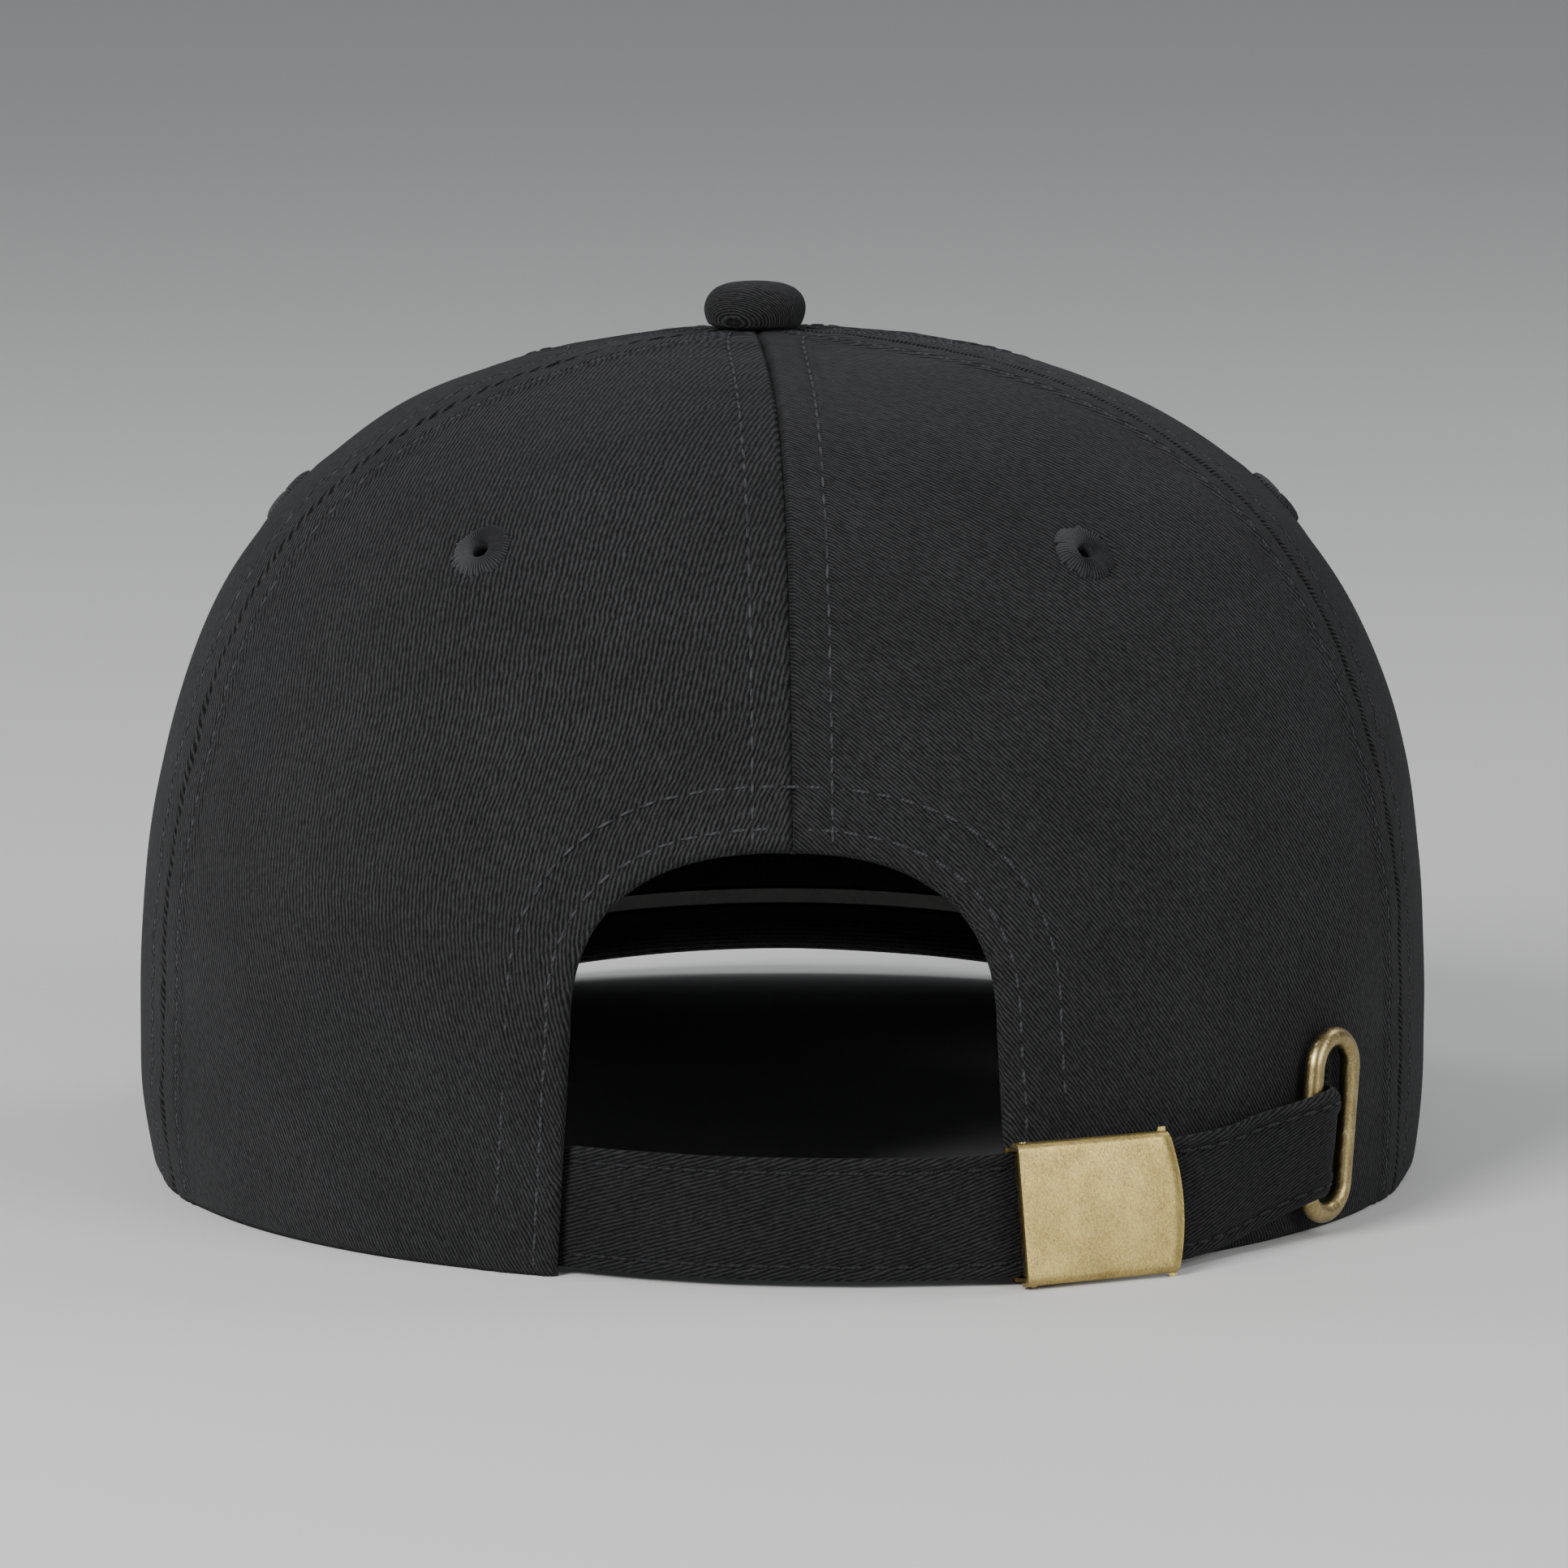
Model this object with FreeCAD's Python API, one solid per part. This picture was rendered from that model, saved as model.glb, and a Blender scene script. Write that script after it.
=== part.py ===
import FreeCAD, Part
import math
import os

# A six-panel baseball cap with a self-fabric strap, a flip-lever buckle and a tuck-in ring.
#
# The origin is the centre of the head opening, on the plane of the rim. +Z is up, -Y is forward,
# and +X is the wearer's left. Lengths are in millimetres and angles in degrees.
# An angle round the crown is 0 at the front, 90 at the wearer's left and 180 at the back.

V = FreeCAD.Vector

# ---- crown ------------------------------------------------------------------------------------
HALF_WIDTH = 94.2        # outside, at the widest level
HALF_LENGTH = 97.0
CROWN_HEIGHT = 120.8     # rim plane to the top of the dome, without its peak
PEAK = 2.7               # the panels' tips rise this much more to the button
PEAK_WIDE = 16.8         # and the peak dies away over this distance
APEX_SHIFT = 4.2         # the panels meet this far to the wearer's left of the middle
APEX_DRIFT = 1.7         # and most of that shift comes near the top
RIM_TRIM = 0.02          # the back panels' lower edges are cut flat at this level
APEX_HOLE = 2.2          # radius left at the top for the button's shank
SEAM_ANGLES = (0.0, 57.0, 109.5, 180.8, 250.5, 303.0)
SEAM_GAP = 0.05          # half the gap between two panels
WIDEST_BACK = 8.0        # level of the widest section at the back and front
WIDEST_SIDE = 17.0       # and at the sides
SIDE_TUCK = 1.6          # how far the side wall draws in from there to the rim
PROFILE_POWER = 2.6      # roundness of the dome's profile
PROFILE_SWAY = 0.05      # fuller at the front, leaner at the back
PROFILE_SIDE = 0.1       # and fuller at the sides

# ---- cloth layers, as depths below the outer face --------------------------------------------
PANEL = (0.0, 1.0)
BUCKRAM = (1.15, 1.8)
PLAIN_TAPE = (1.15, 1.6)
FRONT_TAPE = (1.95, 2.4)
FACING = (1.15, 1.7)
BAND_FOAM = (4.0, 4.7)
BAND_FACE = (4.75, 5.5)
LABEL = (5.6, 5.85)
TAPE_WIDTH = 13.0
TAPE_END = 14.0          # tapes and buckram stop this far from the apex
BAND_FOOT = 0.6          # the sweatband starts this far above the rim
BAND_HEIGHT = 32.0

# ---- back opening ----------------------------------------------------------------------------
ARCH_FOOT = 31.4         # half-width at the rim
ARCH_SHOULDER = 29.4     # half-width where the round top begins
ARCH_SPRING = 34.0       # level of that place
ARCH_TOP = 59.0
ARCH_POWER = 2.4
FACING_WIDTH = 10.0
BAND_CLEAR = 20.6        # the sweatband stops this many degrees either side of the back

# ---- visor -----------------------------------------------------------------------------------
VISOR_ANGLE = 63.0       # the visor is sewn to the rim this far round from the front
VISOR_LIFT = 26.1        # height of the rim at the front
VISOR_SLOPE = 0.26       # fall per millimetre forward
VISOR_ROLL = 190.0       # radius of its side-to-side curve
VISOR_REACH = 120.0      # the outer edge's semi-axes, about a point level with the temples
VISOR_HALF = 88.5
VISOR_ROOT = 47.0
VISOR_POWER = 2.3
VISOR_LAYERS = {"visor_top_cloth": (0.6, 1.2), "visor_board": (1.25, 3.45), "visor_under_cloth": (3.5, 4.1)}
BOARD_INSET = 0.018      # the board stops short of the edge by this share of the visor's depth
RIM_FADE = 112.0         # the rim is back on its plane at this angle

# ---- eyelets and button ----------------------------------------------------------------------
EYELET_RISE = 102.0      # distance up from the rim plane along the cloth, at the back
EYELET_ANGLES = (28.5, 83.3, 143.8, 216.6, 276.7, 331.5)
EYELET_SINK = 0.26       # the inner flange is flat, and clears the hollow of the cloth by this much
EYELET_HOLE = 1.9
EYELET_BORE = 1.2
EYELET_RADIUS = 4.6
EYELET_PROUD = 0.75
BUTTON_BASE = 122.75     # level of the button's foot
BUTTON_RADIUS = 7.45
BUTTON_HEIGHT = 6.7
BUTTON_SKIN = 0.9
SHANK_RADIUS = 1.3
WASHER_RADIUS = 8.0

# ---- strap, as (degrees from the back towards the wearer's right, distance out) ---------------
STRAP_WIDTH = 17.0
STRAP_THICK = 1.3
STRAP_STEPS = 90
STRAP_LEVEL = 9.6       # middle of the strap where it crosses the opening
STRAP_RISE = 4.2         # and how much higher it is at the ring
STRAP_GATHER = 0.11      # it narrows by this share there, to go through the slot
STRAP_LEAN = 1.2         # its upper edge is this many degrees further round than its lower one there
STRAP_ROUTE = (
    (-28.0, -2.75), (-25.0, -2.75), (-22.0, -2.75), (-19.3, -2.6), (-14.0, -1.3), (-5.0, 0.9), (5.0, 2.6),
    (12.0, 3.8), (17.5, 4.3), (33.5, 4.3), (38.5, 3.3), (43.0, 2.9), (46.8, 3.95), (49.6, 4.45), (51.35, 3.95),
    (52.15, 1.9), (52.75, -0.5), (53.55, -2.7), (54.7, -3.2), (57.7, -3.2), (61.2, -3.2),
)
BUCKLE_SPAN = (17.5, 33.5)   # the strap lies straight between these
BUCKLE_STOP = 8              # the place of the first of them in the route
BUCKLE_TILT = 10.0           # its upper edge leans in by this much there

# ---- buckle, in its own frame: t along the strap, w up across it, n outwards -------------------
FRAME_HALF = 12.0
FRAME_FLOOR = (-1.55, -0.75)
BAR_FLOOR = (-2.2, -1.4)      # the tab's bar is joggled in, to make room for the cloth over it
BAR_FROM = 10.3
BAR_OUT = 8.3                  # the bar is hidden under the strap
TAB_WINDOW = (7.4, 10.4)
TAB_HALF = 6.5
TAB_CLOTH = 0.4
EAR_OUT = 9.15
EAR_THICK = 0.5
EAR_ROUND = 0.85         # radius of the ears round the pin
PIN_T = -11.0
PIN_N = 2.6
PIN_RADIUS = 0.55
PIN_FIT = 0.05
LEVER_HALF = 12.5
LEVER_OUT = 9.8
LEVER_SKIN = 0.55
LEVER_TOP = 4.25
CAM_RADIUS = 1.68

# ---- tuck-in ring ------------------------------------------------------------------------------
RING_ANGLE = 52.9
RING_LEVEL = 15.6
RING_WIRE = 1.4          # radius of the wire
RING_SPAN = 9.2          # between the middles of its two long bars
RING_TALL = 25.0
RING_LEAN = 7.0          # degrees, its top towards the front of the cap
SLOT_WIDTH = 4.6
SLOT_TALL = 20.4
SLOT_DROP = 1.0          # the slot's middle is this far below the ring's


# ================================================================================ crown surface
def widest_level(angle):
    return WIDEST_BACK + (WIDEST_SIDE - WIDEST_BACK) * math.sin(math.radians(angle)) ** 2


def profile_power(angle):
    a = math.radians(angle)
    return PROFILE_POWER + PROFILE_SWAY * math.cos(a) + PROFILE_SIDE * math.sin(a) ** 2


def turn_of(m, power):
    """The dome's profile angle at m, chosen so that equal steps of m are nearly equal steps of cloth."""
    near, far = m ** (power / 2), (1.0 - m) ** (power / 2)
    return math.pi / 2 * near / (near + far)


def place_of(turn, power):
    """The inverse of turn_of."""
    share = turn * 2 / math.pi
    ratio = (share / (1.0 - share)) ** (2 / power)
    return ratio / (1.0 + ratio)


def crown_at(angle, m):
    """A point of the outer face. m runs from -1 at the rim plane through 0 at the widest level to 1."""
    a = math.radians(angle)
    level = widest_level(angle)
    if m < 0:
        size = 1.0 - SIDE_TUCK * math.sin(a) ** 2 / HALF_WIDTH * m * m
        z = level * (1.0 + m)
    else:
        power = profile_power(angle)
        turn = turn_of(min(m, 1.0), power)
        size = max(math.cos(turn), 0.0) ** (2.0 / power)
        z = level + (CROWN_HEIGHT - level) * math.sin(turn) ** (2.0 / power)
        z += PEAK * math.exp(-HALF_WIDTH * size / PEAK_WIDE)
    x = APEX_SHIFT * max(1.0 - size, 0.0) ** APEX_DRIFT + HALF_WIDTH * size * math.sin(a)
    return V(x, -HALF_LENGTH * size * math.cos(a), z)


def visor_height(x, y):
    """Height of the visor's upper face over a point."""
    roll = VISOR_ROLL - math.sqrt(VISOR_ROLL ** 2 - x * x)
    return VISOR_LIFT - VISOR_SLOPE * (-y - HALF_LENGTH) - roll


def rim_height(angle):
    """The rim follows the visor at the front and comes down to its plane behind the temples."""
    turn = abs((angle + 180.0) % 360.0 - 180.0)
    if turn >= RIM_FADE:
        return 0.0
    seat = min(turn, VISOR_ANGLE)
    a = math.radians(seat)
    z = visor_height(HALF_WIDTH * math.sin(a), -HALF_LENGTH * math.cos(a))
    if turn > VISOR_ANGLE:
        left = (RIM_FADE - turn) / (RIM_FADE - VISOR_ANGLE)
        z *= left ** 3
    return z


def rim_place(angle):
    z, level = rim_height(angle), widest_level(angle)
    if z < level:
        return z / level - 1.0
    power = profile_power(angle)
    return place_of(math.asin(((z - level) / (CROWN_HEIGHT - level)) ** (power / 2)), power)


MERIDIANS = {}
MERIDIAN_STEPS = 240


def meridian(angle):
    """Distance up from the rim against m, as two lists, for the line at this angle."""
    key = round(angle, 6)
    if key not in MERIDIANS:
        power = profile_power(angle)
        last = place_of(math.acos((APEX_HOLE / HALF_WIDTH) ** (power / 2)), power)
        first = rim_place(angle)
        places = [first + (last - first) * i / MERIDIAN_STEPS for i in range(MERIDIAN_STEPS + 1)]
        reach, before = [0.0], crown_at(angle, first)
        for m in places[1:]:
            point = crown_at(angle, m)
            reach.append(reach[-1] + point.distanceToPoint(before))
            before = point
        MERIDIANS[key] = (reach, places)
    return MERIDIANS[key]


def full_rise(angle):
    return meridian(angle)[0][-1]


def crown_point(angle, rise, depth=0.0):
    """The point this far up the cloth from the rim, and this far in from the outer face."""
    reach, places = meridian(angle)
    rise = min(max(rise, 0.0), reach[-1])
    i = next(k for k in range(1, len(reach)) if reach[k] >= rise)
    share = (rise - reach[i - 1]) / (reach[i] - reach[i - 1])
    m = places[i - 1] + share * (places[i] - places[i - 1])
    point = crown_at(angle, m)
    return point - outward(angle, m) * depth


def outward(angle, m):
    step = 1e-3
    low = m - step if abs(m) > 2 * step else m - 2 * step
    along = crown_at(angle, min(m + step, 1.0)) - crown_at(angle, low)
    across = crown_at(angle + 0.05, m) - crown_at(angle - 0.05, m)
    return across.cross(along).normalize()


def rise_at(angle, radius):
    """How far up the cloth the line at this angle comes within a radius of the apex."""
    reach, places = meridian(angle)
    for distance, m in zip(reach, places):
        point = crown_at(angle, m)
        if math.hypot(point.x - APEX_SHIFT, point.y) <= radius:
            return distance
    return reach[-1]


# ================================================================================ cloth builders
def skin(grid):
    surface = Part.BSplineSurface()
    surface.interpolate(grid)
    return surface


def slab(front, back):
    """A closed solid between two grids of points of the same shape."""
    near, far = skin(front), skin(back)
    faces = [near.toShape(), far.toShape()]
    n, f = near.bounds(), far.bounds()
    for k in (0, 1):
        faces.append(Part.makeRuledSurface(near.uIso(n[k]).toShape(), far.uIso(f[k]).toShape()))
        faces.append(Part.makeRuledSurface(near.vIso(n[2 + k]).toShape(), far.vIso(f[2 + k]).toShape()))
    return closed(faces)


def closed(faces):
    shell = Part.makeShell(faces)
    shell.sewShape()
    solid = Part.makeSolid(shell)
    if solid.Volume < 0:
        solid.reverse()
    return solid


def crown_sheet(columns, layer, foot, head, rows):
    """Cloth on the crown. columns is a list of angle functions of rise share; foot and head give rises."""
    grids = []
    for depth in layer:
        grid = []
        for column in columns:
            line = []
            for i in range(rows):
                share = i / (rows - 1)
                angle = column(share)
                low, high = foot(angle), head(angle)
                line.append(crown_point(angle, low + (high - low) * share, depth))
            grid.append(line)
        grids.append(grid)
    return slab(*grids)


def straight_columns(start, end, count):
    return [lambda share, a=start + (end - start) * i / (count - 1): a for i in range(count)]


def panel(start, end, layer, foot=0.0, trim=SEAM_GAP, head=None):
    """One wedge of the crown between two seams."""
    turn = math.degrees(trim / HALF_WIDTH)
    columns = straight_columns(start + turn, end - turn, 11)
    top = full_rise if head is None else lambda a: rise_at(a, head)
    return crown_sheet(columns, layer, lambda a: foot, top, 21)


def tape(seam, layer, foot):
    """A straight tape over the inside of one seam."""
    columns = []
    for side in (-0.5, -0.25, 0.0, 0.25, 0.5):
        def column(share, side=side):
            rise = foot + (rise_at(seam, TAPE_END) - foot) * share
            point = crown_point(seam, rise)
            radius = math.hypot(point.x - APEX_SHIFT, point.y)
            return seam + math.degrees(side * TAPE_WIDTH / radius)
        columns.append(column)
    return crown_sheet(columns, layer, lambda a: foot, lambda a: rise_at(a, TAPE_END), 21)


def loop_face(points):
    return Part.Face(Part.makePolygon(list(points) + [points[0]]))


# ================================================================================ back opening
def arch(extra=0.0):
    """The opening's outline, grown by extra, as a solid that runs back through the crown."""
    foot, shoulder, top = ARCH_FOOT + extra, ARCH_SHOULDER + extra, ARCH_TOP + extra
    crown = []
    for i in range(13):
        turn = math.radians(180.0 * i / 12)
        x = math.copysign(abs(math.cos(turn)) ** (2 / ARCH_POWER), math.cos(turn))
        z = ARCH_SPRING + (top - ARCH_SPRING) * math.sin(turn) ** (2 / ARCH_POWER)
        crown.append(V(shoulder * x, 0, z))
    curve = Part.BSplineCurve()
    curve.interpolate(crown)
    low = -10.0
    corners = [crown[-1], V(-foot, 0, 0), V(-foot, 0, low), V(foot, 0, low), V(foot, 0, 0), crown[0]]
    edges = [curve.toShape()] + [Part.makeLine(p, q) for p, q in zip(corners, corners[1:])]
    return Part.Face(Part.Wire(edges)).extrude(V(0, HALF_LENGTH + 20, 0))


# ================================================================================ strap
def smooth(t):
    t = min(max(t, 0.0), 1.0)
    return t * t * (3 - 2 * t)


def beside_wall(turn, out, level):
    """A point out from the crown's wall, turn degrees from the back towards the wearer's right."""
    angle = 180.0 + turn
    wall = crown_point(angle, level)
    way = outward(angle, rim_place(angle) + 0.3)
    way.z = 0
    return V(wall.x, wall.y, wall.z) + way.normalize() * out


def buckle_axes():
    """The buckle's middle and its directions: along the strap, up across it, and outwards."""
    ends = [beside_wall(turn, STRAP_ROUTE[BUCKLE_STOP][1], STRAP_LEVEL) for turn in BUCKLE_SPAN]
    along = (ends[1] - ends[0]).normalize()
    out = V(along.y, -along.x, 0)
    if out.y < 0:
        out = out * -1.0
    lean = math.radians(BUCKLE_TILT)
    across = V(0, 0, math.cos(lean)) - out * math.sin(lean)
    thick = out * math.cos(lean) + V(0, 0, math.sin(lean))
    return (ends[0] + ends[1]) * 0.5, along, across, thick


def strap_line(across_share):
    """One line of points along the strap, at this share of its width from its middle."""
    w = STRAP_WIDTH * across_share
    middle, along, across, _ = buckle_axes()
    points = []
    for turn, out in STRAP_ROUTE:
        level = STRAP_LEVEL + STRAP_RISE * smooth((turn - 35.0) / 17.0)
        near_ring = 1.0 - STRAP_GATHER * smooth((turn - 38.0) / 11.0)
        if turn in BUCKLE_SPAN:
            side = 1 if turn == BUCKLE_SPAN[1] else -1
            for t in (12.0, 4.0) if side < 0 else (4.0, 12.0):
                points.append(middle + along * (side * t) + across * w)
        else:
            lean = STRAP_LEAN * across_share * smooth((turn - 44.0) / 5.0)
            points.append(beside_wall(turn + lean, out, level + w * near_ring))
    return points


def strap():
    lines = []
    for share in (-0.5, -0.25, 0.0, 0.25, 0.5):
        curve = Part.BSplineCurve()
        curve.interpolate(strap_line(share))
        lines.append(curve.toShape().discretize(Number=STRAP_STEPS))
    front, back = [], []
    for i in range(STRAP_STEPS):
        before, after = max(i - 1, 0), min(i + 1, STRAP_STEPS - 1)
        along = lines[2][after] - lines[2][before]
        out = along.cross(lines[4][i] - lines[0][i]).normalize() * (STRAP_THICK / 2)
        front.append([line[i] + out for line in lines])
        back.append([line[i] - out for line in lines])
    return slab(front, back)


# ================================================================================ buckle
def buckle_place(shape):
    """Moves a shape drawn with t along X, w along Z and n along -Y to its place on the cap."""
    middle, along, across, thick = buckle_axes()
    back = thick * -1.0
    move = FreeCAD.Matrix(
        along.x, back.x, across.x, middle.x,
        along.y, back.y, across.y, middle.y,
        along.z, back.z, across.z, middle.z,
        0, 0, 0, 1)
    placed = shape.copy()
    placed.Placement = FreeCAD.Placement(move)
    return placed


def plate(outline, low, high):
    """A plate with its outline in (t, n), reaching from w = low to high."""
    face = loop_face([V(t, -n, low) for t, n in outline])
    return face.extrude(V(0, 0, high - low))


def block(t, n, w):
    return Part.makeBox(t[1] - t[0], n[1] - n[0], w[1] - w[0], V(t[0], -n[1], w[0]))


def rod(t, n, radius, low, high):
    return Part.makeCylinder(radius, high - low, V(t, -n, low), V(0, 0, 1))


def buckle_frame():
    """A channel with a floor under the strap, two ears for the pin and a joggled bar for the tab."""
    floor = block((-FRAME_HALF, BAR_FROM), FRAME_FLOOR, (-EAR_OUT, EAR_OUT))
    window = block(TAB_WINDOW, (-3.0, 0.0), (-TAB_HALF - 0.6, TAB_HALF + 0.6))
    bar = block((BAR_FROM - 0.1, FRAME_HALF), BAR_FLOOR, (-BAR_OUT, BAR_OUT))
    step = block((BAR_FROM - 0.6, BAR_FROM + 0.1), (BAR_FLOOR[0], FRAME_FLOOR[1]), (-BAR_OUT, BAR_OUT))
    body = floor.fuse([bar, step]).cut(window)
    foot = FRAME_FLOOR[1] - 0.1
    round_pin = [math.radians(a) for a in range(60, 181, 15)]
    outline = [(PIN_T - 0.6, foot), (9.0, foot), (9.0, 0.6), (-6.0, 1.4), (-9.4, PIN_N + 0.3)]
    outline += [(PIN_T + EAR_ROUND * math.cos(a), PIN_N + EAR_ROUND * math.sin(a)) for a in round_pin]
    for low in (-EAR_OUT, EAR_OUT - EAR_THICK):
        body = body.fuse(plate(outline, low, low + EAR_THICK))
    body = body.cut(rod(PIN_T, PIN_N, PIN_RADIUS + PIN_FIT, -20, 20))
    return body.removeSplitter()


def lever_outline():
    """The lever's cover seen from outside, with its free end bowed."""
    bow = 1.5
    end = LEVER_HALF - bow
    corners = [V(-LEVER_HALF, 0, -LEVER_OUT), V(end, 0, -LEVER_OUT), V(LEVER_HALF, 0, 0),
               V(end, 0, LEVER_OUT), V(-LEVER_HALF, 0, LEVER_OUT)]
    edges = [Part.makeLine(corners[0], corners[1]),
             Part.Arc(corners[1], corners[2], corners[3]).toShape(),
             Part.makeLine(corners[3], corners[4]), Part.makeLine(corners[4], corners[0])]
    return Part.Face(Part.Wire(edges))


def buckle_lever():
    """A cover with two side flanges that turn on the pin, and a toothed cam over the strap."""
    cover = lever_outline().extrude(V(0, LEVER_SKIN, 0))
    cover.translate(V(0, -LEVER_TOP, 0))
    body = cover
    under = LEVER_TOP - 0.2
    for low in (-LEVER_OUT, LEVER_OUT - LEVER_SKIN):
        flange = plate([(-LEVER_HALF, under), (-LEVER_HALF, 2.2), (-11.9, 1.35), (-10.2, 1.25), (-7.6, 1.9),
                        (-2.0, 2.5), (10.6, 3.0), (10.9, under)], low, low + LEVER_SKIN)
        body = body.fuse(flange)
    reach = EAR_OUT - EAR_THICK - 0.25
    cam = rod(PIN_T, PIN_N, CAM_RADIUS, -reach, reach)
    cam = cam.common(block((PIN_T - 0.9, PIN_T + 1.2), (-1.0, LEVER_TOP - 0.3), (-reach, reach)))
    teeth = 9
    pitch = 2 * reach / teeth
    for i in range(1, teeth):
        w = -reach + pitch * i
        left = PIN_T - 3
        notch = loop_face([V(left, -1.15, w), V(left, -0.5, w - 0.55), V(left, -0.5, w + 0.55)])
        cam = cam.cut(notch.extrude(V(6, 0, 0)))
    web = block((PIN_T - 0.9, PIN_T + 1.2), (PIN_N, LEVER_TOP - 0.3), (-reach, reach))
    body = body.fuse(cam).fuse(web)
    body = body.cut(rod(PIN_T, PIN_N, PIN_RADIUS + PIN_FIT, -20, 20))
    return body.removeSplitter()


def buckle_pin():
    return rod(PIN_T, PIN_N, PIN_RADIUS, -LEVER_OUT - 0.2, LEVER_OUT + 0.2)


def buckle_tab():
    """A folded loop of cloth round the frame's bar, sewn down to the panel under the strap's tail."""
    gap = 0.05
    left, right = BAR_FROM - 0.6 - gap, FRAME_HALF + gap
    low, high = BAR_FLOOR[0] - gap, BAR_FLOOR[1] + gap
    outside = block((left - TAB_CLOTH, right + TAB_CLOTH), (low - TAB_CLOTH, high + TAB_CLOTH),
                    (-TAB_HALF, TAB_HALF))
    inside = block((left, right), (low, high), (-TAB_HALF - 1, TAB_HALF + 1))
    return outside.cut(inside)


# ================================================================================ ring and slot
def ring_axes():
    """The ring's middle on the wall, with the directions along the wall, up it and outwards."""
    angle = 180.0 + RING_ANGLE
    wall = crown_point(angle, RING_LEVEL)
    out = (crown_point(angle, RING_LEVEL, -1.0) - wall).normalize()
    along = V(0, 0, 1).cross(out).normalize()
    if along.x > 0:
        along = along * -1.0
    up = out.cross(along)
    if up.z < 0:
        up = up * -1.0
    lean = math.radians(RING_LEAN)
    across = along * math.cos(lean) - up * math.sin(lean)
    return wall, across, up * math.cos(lean) + along * math.sin(lean), out


def oval_wire(span, tall, lift, drop=0.0):
    """A long oval with round ends, standing off the wall by lift."""
    wall, along, up, out = ring_axes()
    middle = wall + out * lift - up * drop
    straight = (tall - span) / 2
    half = span / 2

    def at(x, y):
        return middle + along * x + up * y

    edges = [Part.makeLine(at(-half, -straight), at(-half, straight)),
             Part.Arc(at(-half, straight), at(0, straight + half), at(half, straight)).toShape(),
             Part.makeLine(at(half, straight), at(half, -straight)),
             Part.Arc(at(half, -straight), at(0, -straight - half), at(-half, -straight)).toShape()]
    return Part.Wire(edges)


def tuck_ring():
    lift = RING_WIRE + 0.45
    path = oval_wire(RING_SPAN, RING_TALL, lift)
    start = path.Edges[0].firstVertex().Point
    way = path.Edges[0].tangentAt(path.Edges[0].FirstParameter)
    section = Part.Wire(Part.makeCircle(RING_WIRE, start, way))
    return path.makePipeShell([section], True, False).fuse(ring_prongs())


def oval_plate(span, tall, low, high, drop=0.0):
    _, _, _, out = ring_axes()
    return Part.Face(oval_wire(span, tall, low, drop)).extrude(out * (high - low))


def slot_cutter():
    return oval_plate(SLOT_WIDTH, SLOT_TALL, -7.0, 6.0, SLOT_DROP)


def ring_backing():
    """A thin oval washer inside the panel, with the ring's prongs clenched over it."""
    layer = (-2.35, -1.85)
    washer = oval_plate(RING_SPAN + 3.2, RING_TALL + 3.2, *layer)
    hole = oval_plate(SLOT_WIDTH + 0.6, SLOT_TALL + 0.6, -7.0, 6.0, SLOT_DROP)
    return washer.cut([hole] + ring_prongs())


def ring_prongs():
    """Four short prongs from the ring through the cloth."""
    wall, along, up, out = ring_axes()
    prongs = []
    for x in (-1, 1):
        for y in (-1, 1):
            foot = wall + along * (x * RING_SPAN / 2) + up * (y * (RING_TALL - RING_SPAN) / 2) - out * 1.8
            prongs.append(Part.makeCylinder(0.45, 2.4, foot, out))
    return prongs


# ================================================================================ eyelets, button
def eyelet_axis(angle):
    back = EYELET_RISE - rim_height(angle) * 1.02
    point = crown_point(angle, back)
    return point, (crown_point(angle, back, -1.0) - point).normalize()


def turned(profile, point, way):
    """A solid of revolution: profile is (radius, height along way) from the point."""
    face = loop_face([V(r, 0, h) for r, h in profile])
    solid = face.revolve(V(0, 0, 0), V(0, 0, 1), 360)
    solid.Placement = FreeCAD.Placement(point, FreeCAD.Rotation(V(0, 0, 1), way))
    return solid


def eyelet(angle, deep):
    """Thread worked round a punched hole, with a flange on each side of the cloth."""
    point, way = eyelet_axis(angle)
    high, low = 0.12, -deep - EYELET_SINK
    profile = [(EYELET_BORE, low - 0.5), (EYELET_RADIUS - 0.5, low - 0.5), (EYELET_RADIUS - 0.3, low),
               (EYELET_HOLE - 0.06, low), (EYELET_HOLE - 0.06, high), (EYELET_RADIUS, high),
               (EYELET_RADIUS - 0.3, high + EYELET_PROUD * 0.7), (EYELET_RADIUS - 1.1, high + EYELET_PROUD),
               (EYELET_BORE + 0.5, high + EYELET_PROUD), (EYELET_BORE, high + EYELET_PROUD * 0.5)]
    return turned(profile, point, way)


def eyelet_drill(angle):
    point, way = eyelet_axis(angle)
    return Part.makeCylinder(EYELET_HOLE, 12, point - way * 6, way)


def button_outline(shrink):
    """Half the button's outline, from the middle of its top to its foot."""
    r, h = BUTTON_RADIUS - shrink, BUTTON_HEIGHT - shrink
    shoulder = [V(0.45 * r, 0, h * 0.985), V(0.8 * r, 0, h * 0.88)]
    return [V(0, 0, h)] + shoulder + [V(r, 0, h * 0.55), V(0.93 * r, 0, 0.12)]


def button_solid(shrink, lift):
    curve = Part.BSplineCurve()
    curve.interpolate(button_outline(shrink))
    top, foot = curve.value(curve.FirstParameter), curve.value(curve.LastParameter)
    middle = V(0, 0, foot.z)
    face = Part.Face(Part.Wire([curve.toShape(), Part.makeLine(foot, middle), Part.makeLine(middle, top)]))
    solid = face.revolve(V(0, 0, 0), V(0, 0, 1), 360)
    solid.translate(V(APEX_SHIFT, 0, BUTTON_BASE + lift))
    return solid


def post(radius, low, high):
    return Part.makeCylinder(radius, high - low, V(APEX_SHIFT, 0, BUTTON_BASE + low), V(0, 0, 1))


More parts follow.
